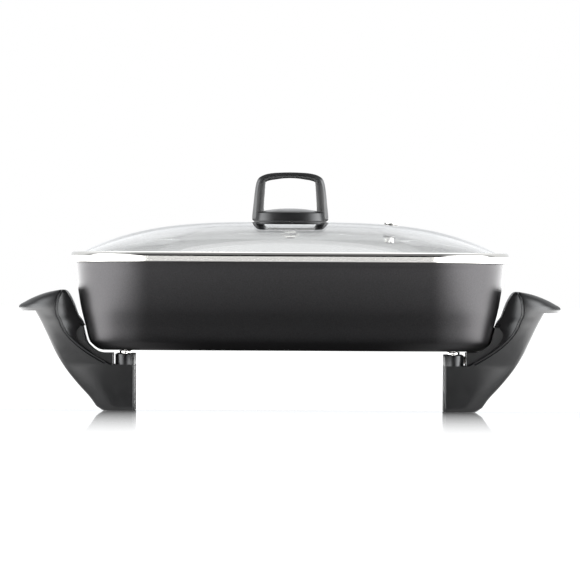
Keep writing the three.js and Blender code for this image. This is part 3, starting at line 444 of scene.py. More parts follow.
COAT = graphite_coat()
PHENOLIC = pressed_phenolic()
STEEL = buffed_steel()
SHEATH = heated_sheath()
GLASS = tempered_glass()
CERAMIC = speckled("unglazed_steatite", STEATITE_SPECKS, "#e2dccf", "#efeae0", 0.62, 1.6)
SILICONE = speckled("matt_silicone", SILICONE_GRAIN, "#141415", "#1e1e1f", 0.55, 1.43)
print("finishes:", len(bpy.data.materials))

# %% [markdown]
# ## Tools for making meshes
# Most pieces here are skins over rings of points: the pan, the glass, the leg mouldings. The rings
# come from outlines that are read off the drawing at a few places and drawn smoothly between them.

# %% Smooth outlines
TINY = 1e-6


def spline(places, per_span=8):
    """Smooth curve through the places, without loops or overshoot at uneven spacing."""
    line = [Vector(place) for place in places]
    ends = [2 * line[0] - line[1], *line, 2 * line[-1] - line[-2]]
    curve = []
    for i in range(len(line) - 1):
        p = ends[i:i + 4]
        t = [0]
        for a, b in zip(p, p[1:]):
            t.append(t[-1] + max((b - a).length, TINY) ** 0.5)
        for k in range(per_span):
            at = t[1] + (t[2] - t[1]) * k / per_span

            def blend(low, high, i, j):
                return low * ((t[j] - at) / (t[j] - t[i])) + high * ((at - t[i]) / (t[j] - t[i]))

            first = [blend(p[j], p[j + 1], j, j + 1) for j in range(3)]
            second = [blend(first[j], first[j + 1], j, j + 2) for j in range(2)]
            curve.append(blend(second[0], second[1], 1, 2))
    curve.append(line[-1])
    return curve


def read(curve, at):
    """Value of a curve of (place, value) pairs, in rising order, at a place."""
    if at <= curve[0][0]:
        return curve[0][1]
    for (low, low_value), (high, high_value) in zip(curve, curve[1:]):
        if at <= high:
            return low_value + (high_value - low_value) * (at - low) / max(high - low, TINY)
    return curve[-1][1]


def mix(low, high, share):
    return low + (high - low) * share


def eased(outline, radius, steps=3, closed=True):
    """The outline with each corner rounded off."""
    line = [Vector(place) for place in outline]
    result = []
    for i, corner in enumerate(line):
        if not closed and i in (0, len(line) - 1):
            result.append(corner)
            continue
        before, after = line[i - 1] - corner, line[(i + 1) % len(line)] - corner
        reach = min(radius, before.length / 2.2, after.length / 2.2)
        start, end = corner + before.normalized() * reach, corner + after.normalized() * reach
        for k in range(steps + 1):
            t = k / steps
            result.append(start.lerp(corner, t).lerp(corner.lerp(end, t), t))
    return result


# %% Making and finishing a piece
def piece_from(name, points, faces, material):
    """A mesh from points in millimetres, with its faces turned outwards."""
    mesh = bpy.data.meshes.new(name)
    mesh.from_pydata([Vector(p) * MM for p in points], [], faces)
    mesh.materials.append(material)
    piece = bpy.data.objects.new(name, mesh)
    bpy.context.collection.objects.link(piece)
    turn_outwards(piece)
    return piece


def turn_outwards(piece):
    """Merges doubled points, then turns all faces outwards."""
    work = bmesh.new()
    work.from_mesh(piece.data)
    bmesh.ops.remove_doubles(work, verts=work.verts, dist=0.002 * MM)
    bmesh.ops.recalc_face_normals(work, faces=work.faces)
    work.to_mesh(piece.data)
    work.free()


def settle(piece):
    """Makes what the modifiers give the piece's own mesh, and removes them."""
    graph = bpy.context.evaluated_depsgraph_get()
    result = bpy.data.meshes.new_from_object(piece.evaluated_get(graph))
    piece.modifiers.clear()
    old, piece.data = piece.data, result
    bpy.data.meshes.remove(old)
    result.name = piece.name
    return piece


def combine(piece, tool, operation="DIFFERENCE"):
    """Cuts the tool out of the piece, or joins it to the piece, and deletes the tool."""
    step = piece.modifiers.new("combine", "BOOLEAN")
    step.operation = operation
    step.solver = "MANIFOLD"
    step.object = tool
    settle(piece)
    bpy.data.objects.remove(tool)
    return piece


def place(piece, body, slot, *nodes, sharp=34):
    """Smooth shading, the body the piece belongs to, and the solids it takes the place of, hidden."""
    piece.data.shade_smooth()
    piece.data.set_sharp_from_angle(angle=math.radians(sharp))
    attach(piece, body)
    if nodes:
        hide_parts(*nodes)
    print(piece.name, "faces:", len(piece.data.polygons))
    return piece


# %% Rings and skins
PAN_STEPS = 22


def rounded_ring(half_length, half_width, radius, z, steps=PAN_STEPS):
    """Rounded rectangle about the Z axis."""
    ring = []
    for corner in range(4):
        x = (half_length - radius) * (1 if corner in (0, 3) else -1)
        y = (half_width - radius) * (1 if corner < 2 else -1)
        for i in range(steps + 1):
            angle = (corner + i / steps) * math.pi / 2
            ring.append(Vector((x + radius * math.cos(angle), y + radius * math.sin(angle), z)))
    return ring


def skin(name, rings, material, round_trip=False):
    """A skin over rings. It closes at both ends, or comes back to its first ring."""
    count = len(rings[0])
    points = [p for ring in rings for p in ring]
    faces = []
    for k in range(len(rings) if round_trip else len(rings) - 1):
        a, b = k * count, (k + 1) % len(rings) * count
        faces += [(a + i, a + (i + 1) % count, b + (i + 1) % count, b + i) for i in range(count)]
    if not round_trip:
        for start in (0, (len(rings) - 1) * count):
            middle = len(points)
            points.append(sum(points[start:start + count], Vector((0, 0, 0))) / count)
            faces += [(middle, start + i, start + (i + 1) % count) for i in range(count)]
    return piece_from(name, points, faces, material)


def turned(name, profile, material, sides=48, centre=(0, 0)):
    """A turned piece from (radius, height) pairs that start and end on the axis, or meet."""
    round_trip = (Vector(profile[0]) - Vector(profile[-1])).length < TINY
    loops, points, faces = [], [], []
    for radius, height in profile[:-1] if round_trip else profile:
        count = sides if radius > TINY else 1
        loops.append([len(points) + i for i in range(count)])
        for i in range(count):
            angle = 2 * math.pi * i / sides
            x, y = radius * math.cos(angle), radius * math.sin(angle)
            points.append((centre[0] + x, centre[1] + y, height))
    if round_trip:
        loops.append(loops[0])
    for a, b in zip(loops, loops[1:]):
        for i in range(sides):
            j = (i + 1) % sides
            quad = [a[i % len(a)], a[j % len(a)], b[j % len(b)], b[i % len(b)]]
            faces.append(list(dict.fromkeys(quad)))
    return piece_from(name, points, [face for face in faces if len(face) > 2], material)


def column(centre, low, high, radius, material, ease=0.0, sides=48):
    """Upright cylinder, with its two edges rounded where ease is given."""
    profile = [(0, low), (radius, low), (radius, high), (0, high)]
    if ease:
        profile = eased(profile, ease, closed=False)
    return turned("column", profile, material, sides, centre)


def prism(name, outline, low, high, material, along="Y"):
    """An outline pushed through along X, or an outline in X and Z pushed through along Y."""
    def point(a, b, depth):
        return (depth, a, b) if along == "X" else (a, depth, b)

    count = len(outline)
    points = [point(a, b, low) for a, b in outline] + [point(a, b, high) for a, b in outline]
    faces = [(i, (i + 1) % count, count + (i + 1) % count, count + i) for i in range(count)]
    faces += [tuple(range(count)), tuple(range(count, 2 * count))]
    return piece_from(name, points, faces, material)


# %% [markdown]
# Geometry Nodes make what repeats or follows a path. A tree takes its sizes as named inputs, and
# its result is kept as a plain mesh.


# %% Growing pieces
def new_tree(name, inputs):
    """A tree with a geometry input and the named inputs, and the outputs of its input node."""
    tree = bpy.data.node_groups.new(name, "GeometryNodeTree")
    tree.interface.new_socket("Geometry", in_out="INPUT", socket_type="NodeSocketGeometry")
    for label, kind in inputs.items():
        tree.interface.new_socket(label, in_out="INPUT", socket_type="NodeSocket" + kind)
    tree.interface.new_socket("Material", in_out="INPUT", socket_type="NodeSocketMaterial")
    tree.interface.new_socket("Geometry", in_out="OUTPUT", socket_type="NodeSocketGeometry")
    return tree, add_node(tree, "NodeGroupInput").outputs


def end_tree(tree, geometry, given):
    whole = add_node(tree, "GeometryNodeRealizeInstances", inputs={"Geometry": geometry})
    dressed = add_node(tree, "GeometryNodeSetMaterial", inputs={
        "Geometry": whole.outputs["Geometry"], "Material": given["Material"],
    })
    add_node(tree, "NodeGroupOutput", inputs={"Geometry": dressed.outputs["Geometry"]})
    return tree


def grow(name, tree, source, values):
    """The piece that a tree makes from the source mesh and the values of its inputs."""
    piece = bpy.data.objects.new(name, source)
    bpy.context.collection.objects.link(piece)
    step = piece.modifiers.new("grow", "NODES")
    step.node_group = tree
    for socket in tree.interface.items_tree:
        if socket.in_out == "INPUT" and socket.name in values:
            step[socket.identifier] = values[socket.name]
    settle(piece)
    turn_outwards(piece)
    return piece


def wire(name, points, closed=False):
    """A mesh of points joined by edges."""
    count = len(points)
    edges = [(i, (i + 1) % count) for i in range(count if closed else count - 1)]
    mesh = bpy.data.meshes.new(name)
    mesh.from_pydata([Vector(p) * MM for p in points], edges, [])
    return mesh


# %% A tube along a path
def tube_tree():
    tree, given = new_tree("tube_along_a_path", {"Radius": "Float", "Sides": "Int"})
    path = add_node(tree, "GeometryNodeMeshToCurve", inputs={"Mesh": given["Geometry"]})
    section = add_node(tree, "GeometryNodeCurvePrimitiveCircle", inputs={
        "Resolution": given["Sides"], "Radius": given["Radius"],
    })
    tube = add_node(tree, "GeometryNodeCurveToMesh", inputs={
        "Curve": path.outputs["Curve"], "Profile Curve": section.outputs["Curve"], "Fill Caps": True,
    })
    return end_tree(tree, tube.outputs["Mesh"], given)


# %% A folded strip round a rounded rectangle
def strip_tree():
    tree, given = new_tree("strip_round_a_lid", {
        "Length": "Float", "Width": "Float", "Corner Radius": "Float", "Corner Steps": "Int",
    })
    section = add_node(tree, "GeometryNodeMeshToCurve", inputs={"Mesh": given["Geometry"]})
    box = add_node(tree, "GeometryNodeCurvePrimitiveQuadrilateral", inputs={
        "Width": given["Length"], "Height": given["Width"],
    })
    path = add_node(tree, "GeometryNodeFilletCurve", {"mode": "POLY"}, {
        "Curve": box.outputs["Curve"], "Count": given["Corner Steps"],
        "Radius": given["Corner Radius"], "Limit Radius": True,
    })
    upright = add_node(tree, "GeometryNodeSetCurveNormal", {"mode": "Z_UP"}, {
        "Curve": path.outputs["Curve"],
    })
    strip = add_node(tree, "GeometryNodeCurveToMesh", inputs={
        "Curve": upright.outputs["Curve"], "Profile Curve": section.outputs["Curve"],
    })
    return end_tree(tree, strip.outputs["Mesh"], given)


# %% Copies of one piece, each turned a little differently
def copies_tree():
    tree, given = new_tree("copies_on_places", {"Piece": "Object", "Most Turn": "Float", "Seed": "Int"})
    one = add_node(tree, "GeometryNodeObjectInfo", inputs={"Object": given["Piece"]})
    turn = add_node(tree, "FunctionNodeRandomValue", {"data_type": "FLOAT"}, {
        "Seed": given["Seed"],
    })
    tree.links.new(given["Most Turn"], turn.inputs[3])
    spin = add_node(tree, "ShaderNodeCombineXYZ", inputs={"Z": turn.outputs[1]})
    copies = add_node(tree, "GeometryNodeInstanceOnPoints", inputs={
        "Points": given["Geometry"], "Instance": one.outputs["Geometry"], "Rotation": spin.outputs["Vector"],
    })
    return end_tree(tree, copies.outputs["Instances"], given)


TUBE = tube_tree()
STRIP = strip_tree()
COPIES = copies_tree()


def copies(name, one, places, material, most_turn=0.0, seed=1):
    """One piece set down at each place. The piece itself is deleted."""
    points = wire(name, places)
    points.materials.append(material)
    result = grow(name, COPIES, points, {
        "Piece": one, "Most Turn": most_turn, "Seed": seed, "Material": material,
    })
    bpy.data.objects.remove(one)
    return result


# %% [markdown]
# ## The heating element
# A tubular element lies half sunk in a groove under the floor of the pan, in a loop with round
# corners. Its two ends leave the groove between the leg posts, come straight down and run level
# into the socket.

# %% Path of the element
ELEMENT_RADIUS = 3.5
ELEMENT_LEFT = -130
ELEMENT_RIGHT = 98
ELEMENT_HALF_WIDTH = 88
ELEMENT_CORNER = 40
LEAD_SPACING = 22
LEAD_Z = 48.9
LEAD_END = 166.2
LEAD_RISE = 154.5
LEAD_TURN = 14
GROOVE_Z = 65


def quarter(steps, point_at):
    """Points of a quarter turn, from the cosine and sine of the angle turned through."""
    angles = [i / steps * math.pi / 2 for i in range(steps + 1)]
    return [point_at(math.cos(angle), math.sin(angle)) for angle in angles]


def element_path():
    near, corner, turn = LEAD_SPACING / 2, ELEMENT_CORNER, LEAD_TURN
    bend = (GROOVE_Z - LEAD_Z) / 2
    bend_z = LEAD_Z + bend
    side = ELEMENT_HALF_WIDTH - corner
    half = [(LEAD_END, near, LEAD_Z)]
    half += quarter(7, lambda c, s: (LEAD_RISE + bend * (1 - s), near, bend_z - bend * c))
    half += quarter(7, lambda c, s: (LEAD_RISE - bend * (1 - c), near, bend_z + bend * s))[1:]
    half += quarter(7, lambda c, s: (ELEMENT_RIGHT + turn * (1 - s), near + turn * (1 - c), GROOVE_Z))
    half += quarter(14, lambda c, s: (ELEMENT_RIGHT - corner * (1 - c), side + corner * s, GROOVE_Z))
    half += quarter(14, lambda c, s: (ELEMENT_LEFT + corner * (1 - s), side + corner * c, GROOVE_Z))
    return half + [(x, -y, z) for x, y, z in reversed(half)]


def element_tube(radius, material, sides=24):
    return grow("heating_element_tube", TUBE, wire("element_path", element_path()), {
        "Radius": radius * MM, "Sides": sides, "Material": material,
    })


place(element_tube(ELEMENT_RADIUS, SHEATH), "base", "element_sheath", "heating_element")

# %% [markdown]
# ## The pan
# A cast pan has one continuous skin: up the inside wall, over the lip, down the outside and in
# under the floor. The outline of its wall was read off the photograph as shares of its height and
# of its flare, and each place of that outline becomes one rounded rectangle.

# %% Sizes of the pan
PAN_HALF_LENGTH = 202.3
PAN_HALF_WIDTH = 152.3
PAN_CORNER = 70
PAN_BOTTOM = 57.3
PAN_DEPTH = 83.1
PAN_TOP = PAN_BOTTOM + PAN_DEPTH
PAN_FLARE = 27.1
PAN_WALL = 3.2
PAN_FLOOR_UNDER = PAN_BOTTOM + 7.7
PAN_FLOOR = PAN_FLOOR_UNDER + 6
PAN_FILLET = 11
PAN_FILLET_STEPS = 8
PAN_SKIRT = 8
SKIRT_DRAFT = 2
SKIRT_EASE = 1.5
UNDER_REACH = 30
PAN_LIP = 1.3
CURVE_MARGIN = 1
WALL_SHARES = [
    (0, 1), (0.014, 0.84), (0.066, 0.627), (0.11, 0.52), (0.276, 0.385),
    (0.344, 0.33), (0.446, 0.25), (0.572, 0.177), (0.8, 0.074), (1, 0),
]
wall_curve = [
    (PAN_BOTTOM + PAN_DEPTH * high, PAN_FLARE * out)
    for high, out in spline(WALL_SHARES, 5)
]


def pan_ring(inset, z):
    return rounded_ring(PAN_HALF_LENGTH - inset, PAN_HALF_WIDTH - inset, PAN_CORNER - inset, z)


# %% Pan
POST_X = 154.5
POST_Y = 85
LEG_PLACES = [(x, y) for x in (-POST_X, POST_X) for y in (-POST_Y, POST_Y)]
GUARD_SCREW_PLACES = [(171.2, -19), (171.2, 19)]
BOSS_RADIUS = 8
BOSS_EASE = 0.6
BOSS_ROOT = 1
LEG_BORE, LEG_BORE_DEPTH = 2.9, 6.8
GUARD_BORE, GUARD_BORE_DEPTH = 2.3, 6.3


def make_pan():
    inside_corner = read(wall_curve, PAN_FLOOR) + PAN_WALL
    inside = []
    for i in range(PAN_FILLET_STEPS + 1):
        turn = i / PAN_FILLET_STEPS * math.pi / 2
        z = PAN_FLOOR + PAN_FILLET * (1 - math.cos(turn))
        wall = mix(inside_corner, read(wall_curve, z) + PAN_WALL, i / PAN_FILLET_STEPS)
        inside.append((wall + PAN_FILLET * (1 - math.sin(turn)), z))
    below_lip = PAN_TOP - PAN_LIP - CURVE_MARGIN
    inside += [(inset + PAN_WALL, z) for z, inset in wall_curve
               if PAN_FLOOR + PAN_FILLET + CURVE_MARGIN < z < below_lip]
    lip = [(0, PAN_TOP - PAN_LIP), (0, PAN_TOP), (PAN_WALL, PAN_TOP), (PAN_WALL, PAN_TOP - PAN_LIP)]
    lip = [(inset, z) for inset, z in eased(lip, PAN_LIP, 4, closed=False)][::-1]
    outside = [(inset, z) for z, inset in wall_curve if z < below_lip][::-1]
    skirt_in = PAN_FLARE + PAN_SKIRT
    under = eased([
        (PAN_FLARE, PAN_BOTTOM), (skirt_in, PAN_BOTTOM),
        (skirt_in + SKIRT_DRAFT, PAN_FLOOR_UNDER), (skirt_in + UNDER_REACH, PAN_FLOOR_UNDER),
    ], SKIRT_EASE, 3, closed=False)[1:]
    path = inside + lip + outside + [tuple(p) for p in under]
    pan = skin("pan", [pan_ring(inset, z) for inset, z in path], COAT)
    for at in LEG_PLACES:
        boss = column(at, PAN_BOTTOM, PAN_FLOOR_UNDER + BOSS_ROOT, BOSS_RADIUS, COAT, BOSS_EASE)
        combine(pan, boss, "UNION")
    bores = [(at, LEG_BORE, LEG_BORE_DEPTH) for at in LEG_PLACES]
    bores += [(at, GUARD_BORE, GUARD_BORE_DEPTH) for at in GUARD_SCREW_PLACES]
    for at, radius, depth in bores:
        combine(pan, column(at, PAN_BOTTOM - BEYOND, PAN_BOTTOM + depth, radius, COAT))
    return combine(pan, element_tube(ELEMENT_RADIUS + SEAT_GAP, COAT))


place(make_pan(), "base", "pan_coating", "pan_vessel")

# %% [markdown]
# ## The lid
# The rim is one strip of steel, folded so that it holds the glass, laps over the pan and reaches
# down inside its mouth. Its outer face leans in a little towards the table, and above that it is
# rolled over: the lower part mirrors the bright table, the rolled part the dark room.

# %% Rim
RIM_HALF_LENGTH = 206
RIM_HALF_WIDTH = 156
RIM_CORNER = 73.5
RIM_BOTTOM = PAN_TOP + SEAT_GAP
RIM_TOP = RIM_BOTTOM + 9.4
RIM_SHEET = 1.3
RIM_FLANGE = 8.5
RIM_LEAN = 0.35
RIM_INNER_LEAN = 0.3
RIM_ROLL = 4.2
RIM_FOOT_ROUND = 0.9
RIM_OVERHANG = 0.5
RIM_SUPPORT = 0.3
RIM_CORNER_STEPS = 26
SKIRT_OUTSIDE = 8.1
SKIRT_DEPTH = 6


def rim_section():
    """Outline of the folded strip as (inset, height) pairs."""
    low, high, sheet = RIM_BOTTOM, RIM_TOP, RIM_SHEET
    skirt_low = low - SKIRT_DEPTH
    r = RIM_FOOT_ROUND
    edge = low - RIM_OVERHANG
    foot = [(sheet + r + RIM_LEAN, low), (sheet + RIM_LEAN, edge)]
    foot += quarter(6, lambda c, s: (RIM_LEAN + r * (1 - s), edge + r * (1 - c)))
    foot.append((RIM_LEAN, edge + r + RIM_SUPPORT))
    roll = [(0, high - RIM_ROLL - RIM_SUPPORT)]
    roll += quarter(8, lambda c, s: (RIM_ROLL * (1 - c), high - RIM_ROLL * (1 - s)))
    rest = [
        (RIM_FLANGE, high), (RIM_FLANGE, high - sheet), (sheet + RIM_ROLL, high - sheet),
        (sheet + RIM_INNER_LEAN, high - RIM_ROLL), (sheet + RIM_LEAN, low + sheet),
        (SKIRT_OUTSIDE + sheet, low + sheet), (SKIRT_OUTSIDE + sheet, skirt_low),
        (SKIRT_OUTSIDE, skirt_low), (SKIRT_OUTSIDE, low),
    ]
    return [*foot, *roll, *rest]


def make_rim():
    outline = [Vector((-inset, RIM_BOTTOM - z, 0)) for inset, z in rim_section()]
    strip = grow("lid_rim_strip", STRIP, wire("rim_section", outline, closed=True), {
        "Length": 2 * RIM_HALF_LENGTH * MM, "Width": 2 * RIM_HALF_WIDTH * MM,
        "Corner Radius": RIM_CORNER * MM, "Corner Steps": RIM_CORNER_STEPS,
        "Material": STEEL,
    })
    strip.data.transform(Matrix.Translation((0, 0, RIM_BOTTOM * MM)))
    return strip


rim = place(make_rim(), "lid", "steel", "lid_rim")
print("rim spans", [round(v * 1000, 1) for v in rim.dimensions])

# %% [markdown]
# The glass rises steeply at its edge and flattens towards the knob. Near the rim its level lines
# keep the shape of the rim; towards the middle they turn into ovals.

# %% Glass
GLASS_HALF_LENGTH = 202
GLASS_HALF_WIDTH = 152
GLASS_CORNER = 69.5
GLASS_RISE = 32.4
GLASS_APEX = 178.5
GLASS_POWER = 3.5
GLASS_EVEN_POWER = 8
GLASS_THICKNESS = 4
GLASS_EDGE_THICKNESS = 3.4
GLASS_HOLE = 3.2
VENT_X = 95
VENT_RADIUS = 4.6
VENT_FLANGE = 6.9
VENT_CUT = 9
SIDE_STEPS = 12
GLASS_STEPS = 44
INNERMOST_SHARE = 0.012
glass_shares = [math.sin(i / GLASS_STEPS * math.pi / 2) for i in range(GLASS_STEPS, 0, -1)]
glass_shares.append(INNERMOST_SHARE)


def glass_z(share):
    return GLASS_APEX - GLASS_RISE * share ** GLASS_POWER


def glass_ring(share, z):
    even = (GLASS_HALF_LENGTH - GLASS_HALF_WIDTH) * (1 - share) * share ** GLASS_EVEN_POWER
    long, wide = GLASS_HALF_LENGTH * share, GLASS_HALF_WIDTH * share - even
    corners = rounded_ring(long, wide, GLASS_CORNER * share, z)
    ring = []
    for i, point in enumerate(corners):
        ring.append(point)
        if (i + 1) % (PAN_STEPS + 1) == 0:
            after = corners[(i + 1) % len(corners)]
            ring += [point.lerp(after, k / SIDE_STEPS) for k in range(1, SIDE_STEPS)]
    for point in ring:
        reach = math.hypot(point.x / long, point.y / wide)
        pull = mix(1, 1 / reach, 1 - share ** 2)
        point.x, point.y = point.x * pull, point.y * pull
    return ring


def on_vent_slope(piece):
    """Sets a piece made about the Z axis on the glass, square to it, where the vent is."""
    share, step = VENT_X / GLASS_HALF_LENGTH, VENT_FLANGE / GLASS_HALF_LENGTH
    drop = glass_z(share - step) - glass_z(share + step)
    tilt = Matrix.Rotation(math.atan(drop / (2 * VENT_FLANGE)), 4, "Y")
    piece.data.transform(Matrix.Translation((VENT_X * MM, 0, glass_z(share) * MM)) @ tilt)
    return piece


def make_glass():
    above = [glass_ring(share, glass_z(share)) for share in glass_shares]
    below = []
    for share in reversed(glass_shares):
        thickness = mix(GLASS_THICKNESS, GLASS_EDGE_THICKNESS, share)
        below.append(glass_ring(share, glass_z(share) - thickness))
    glass = skin("lid_glass_dome", below + above, GLASS)
    combine(glass, column((0, 0), GLASS_APEX - 2 * BEYOND, GLASS_APEX + BEYOND, GLASS_HOLE, GLASS))
    vent_hole = column((0, 0), -VENT_CUT, VENT_CUT, VENT_RADIUS + SEAT_GAP, GLASS)
    return combine(glass, on_vent_slope(vent_hole))


place(make_glass(), "lid", "glass", "lid_glass")

# %% [markdown]
# ## The knob
# A strap-like loop stands on the glass. It is a closed band with a chamfer along its outer edge,
# wider at the foot than at the top, and a soft edge round its window. The oval base is held
# inside it, and a seal lies under both.
#
# An outline goes up one half of the loop as (share of the height, share of the half width) pairs.
# The end of the chamfer is rounded by lines at (share of the chamfer, depth below the face).

# %% Loop of the knob
KNOB_BOTTOM = 179.6
LOOP_HALF_WIDTH = 35.9
LOOP_HEIGHT = 45.7
LOOP_DEPTH = 23
LOOP_CROWN = 5.4
LOOP_SIDE = 10.8
LOOP_BAR = 2.2
LOOP_SOFT_EDGE = 0.8
LOOP_BORE_DEPTH = 8
KNOB_BORE = 2.8
CHAMFER_TOP = 2.2
CHAMFER_FOOT = 3.8
CHAMFER_SLIMMING = 1.6
CHAMFER_END = [(0.94, 0.12), (1.05, 0)]
WINDOW_EASE = 0.25
OUTER_SHARES = [
    (0, 0.975), (0.03, 1), (0.15, 0.993), (0.32, 0.97), (0.57, 0.937), (0.8, 0.886),
    (0.88, 0.83), (0.945, 0.69), (0.98, 0.5), (0.995, 0.25), (1, 0),
]
WINDOW_SHARES = [
    (0, 0.96), (0.03, 1), (0.15, 0.998), (0.32, 0.985), (0.57, 0.96), (0.8, 0.935),
    (0.9, 0.91), (0.935, 0.8), (0.965, 0.55), (0.99, 0.28), (1, 0),
]


def loop_ring(shares, half_width, low, high, y, inset_at=None):
    """One line round the loop. The inset may change with the height."""
    half = []
    for share, out in spline(shares, 5):
        share, out = min(share, 1), min(out, 1)
        inset = inset_at(share) if inset_at else 0
        half.append(((half_width - inset) * out, mix(low, high - inset, share) + KNOB_BOTTOM))
    other = [(-x, z) for x, z in reversed(half[:-1])]
    return [Vector((x, y, z)) for x, z in half + other]


def chamfer_at(share):
    return mix(CHAMFER_FOOT, CHAMFER_TOP, min(1, share * CHAMFER_SLIMMING))


def loop_skin(margin):
    """The band, thicker by a margin on all sides."""
    face = LOOP_DEPTH / 2 + margin
    window_side, window_foot = LOOP_HALF_WIDTH - LOOP_SIDE - margin, LOOP_BAR + margin
    window_top = LOOP_HEIGHT - LOOP_CROWN - margin

    def outer(inset_share, y):
        return loop_ring(
            OUTER_SHARES, LOOP_HALF_WIDTH + margin, -margin, LOOP_HEIGHT + margin, y,
            lambda share: inset_share * chamfer_at(share),
        )

    def inner(grown, y):
        return loop_ring(WINDOW_SHARES, window_side + grown, window_foot, window_top + grown, y)

    rings = []
    for side in (-1, 1):
        edge = [outer(0, side * (face - CHAMFER_TOP))]
        edge += [outer(share, side * (face - below)) for share, below in CHAMFER_END]
        edge += [
            inner(LOOP_SOFT_EDGE, side * face), inner(WINDOW_EASE, side * (face - WINDOW_EASE)),
            inner(0, side * (face - LOOP_SOFT_EDGE)),
        ]
        rings += edge if side < 0 else edge[::-1]
    return skin("knob_loop_band", rings, PHENOLIC, round_trip=True)


def knob_bore(depth):
    return column((0, 0), KNOB_BOTTOM - BEYOND, KNOB_BOTTOM + depth, KNOB_BORE, PHENOLIC)


def make_loop():
    return combine(loop_skin(0), knob_bore(LOOP_BORE_DEPTH))


place(make_loop(), "lid", "phenolic", "knob_loop")

# %% Base and seal of the knob
BASE_HALF_LENGTH = 34.6
BASE_HALF_WIDTH = 24
BASE_HEIGHT = 7.7
BASE_DRAFT = 1.4
BASE_CAP = 4
BASE_CAP_RUN, BASE_CAP_START = 8, 1.6
BASE_CAP_SHARES = (0.93, 0.86, 0.76, 0.62, 0.46, 0.3, 0.14)
BASE_EASE = 0.7
BASE_BORE_DEPTH = 5.7
OVAL_POWER = 3
SEAL_BOTTOM = 178.6
SEAL_TOP = 179.5
SEAL_INSET = 0.4


def oval_ring(half_length, half_width, z, steps=128):
    ring = []
    for i in range(steps):
        c, s = math.cos(2 * math.pi * i / steps), math.sin(2 * math.pi * i / steps)
        reach = (abs(c) ** OVAL_POWER + abs(s) ** OVAL_POWER) ** (1 / OVAL_POWER)
        ring.append(Vector((half_length * c / reach, half_width * s / reach, z)))
    return ring


def make_base():
    edge = KNOB_BOTTOM + BASE_HEIGHT
    side = [(0, KNOB_BOTTOM), (BASE_DRAFT, edge), (BASE_DRAFT + BASE_CAP_RUN, edge + BASE_CAP_START)]
    rings = [oval_ring(BASE_HALF_LENGTH - inset, BASE_HALF_WIDTH - inset, z)
             for inset, z in eased(side, BASE_EASE, 4, closed=False)[:-1]]
    long, wide = BASE_HALF_LENGTH - BASE_DRAFT, BASE_HALF_WIDTH - BASE_DRAFT
    for share in BASE_CAP_SHARES:
        rings.append(oval_ring(long * share, wide * share, edge + BASE_CAP * (1 - share ** 2)))
    base = combine(skin("knob_base_oval", rings, PHENOLIC), loop_skin(SEAT_GAP))
    return combine(base, knob_bore(BASE_BORE_DEPTH))


def make_seal():
    long, wide = BASE_HALF_LENGTH - SEAL_INSET, BASE_HALF_WIDTH - SEAL_INSET
    rings = [oval_ring(long, wide, z) for z in (SEAL_BOTTOM, SEAL_TOP)]
    seal = skin("knob_seal_pad", rings, SILICONE)
    return combine(seal, column((0, 0), SEAL_BOTTOM - BEYOND, SEAL_TOP + BEYOND, GLASS_HOLE, SILICONE))


place(make_base(), "lid", "phenolic", "knob_base")
place(make_seal(), "lid", "silicone", "knob_seal")

# %% [markdown]
# Under the glass a washer and one screw hold the knob. Every screw here has a rounded head with a
# cross recess, pressed in by two crossed blades.

# %% Screws and washers
HEAD_ROUND = 0.7
TIP_LENGTH, TIP_TAPER = 1, 0.9
RECESS_WIDTH = 0.9
RECESS_REACH = 0.55
RECESS_FLOOR = 0.45
WASHER_EASE = 0.3


def cross_blade(width, length, low, high):
    outline = [(-length, low), (length, low), (length, high), (-length, high)]
    return prism("blade", outline, -width, width, STEEL)


def make_screw(name, head, height, shank, reach):
    """A screw with its head below the seat at z = 0 and its shank above."""
    profile = eased([(0, -height), (head, -height), (head, 0)], height * HEAD_ROUND, 5, closed=False)
    tip = [(shank, 0), (shank, reach - TIP_LENGTH), (shank - TIP_TAPER, reach), (0, reach)]
    screw = turned(name, profile + [Vector(place) for place in tip], STEEL)
    for turn in (0, math.pi / 2):
        blade = cross_blade(RECESS_WIDTH / 2, head * RECESS_REACH, -height - 1, -height * RECESS_FLOOR)
        blade.data.transform(Matrix.Rotation(turn, 4, "Z"))
        combine(screw, blade)
    return screw


def hoop(name, outline, ease, steps, material):
    """A ring turned from an outline of (radius, height) pairs with eased corners."""
    profile = eased(outline, ease, steps)
    return turned(name, [*profile, profile[0]], material)


def make_washer(name, outside, hole, low, high):
    outline = [(hole, low), (outside, low), (outside, high), (hole, high)]
    return hoop(name, outline, min(WASHER_EASE, (high - low) / 3), 3, STEEL)


# %% Washer and screw of the knob
WASHER_TOP = 174.2
WASHER_THICKNESS = 1.6
KNOB_SEAT = WASHER_TOP - 1.9
washer = make_washer(
    "knob_washer_disc", outside=8, hole=KNOB_BORE, low=WASHER_TOP - WASHER_THICKNESS, high=WASHER_TOP,
)
place(washer, "lid", "steel", "knob_washer")
knob_screw = make_screw("knob_screw_turned", head=5.2, height=3.2, shank=2.4, reach=12.69)
knob_screw.data.transform(Matrix.Translation((0, 0, KNOB_SEAT * MM)))
place(knob_screw, "lid", "steel", "knob_screw")

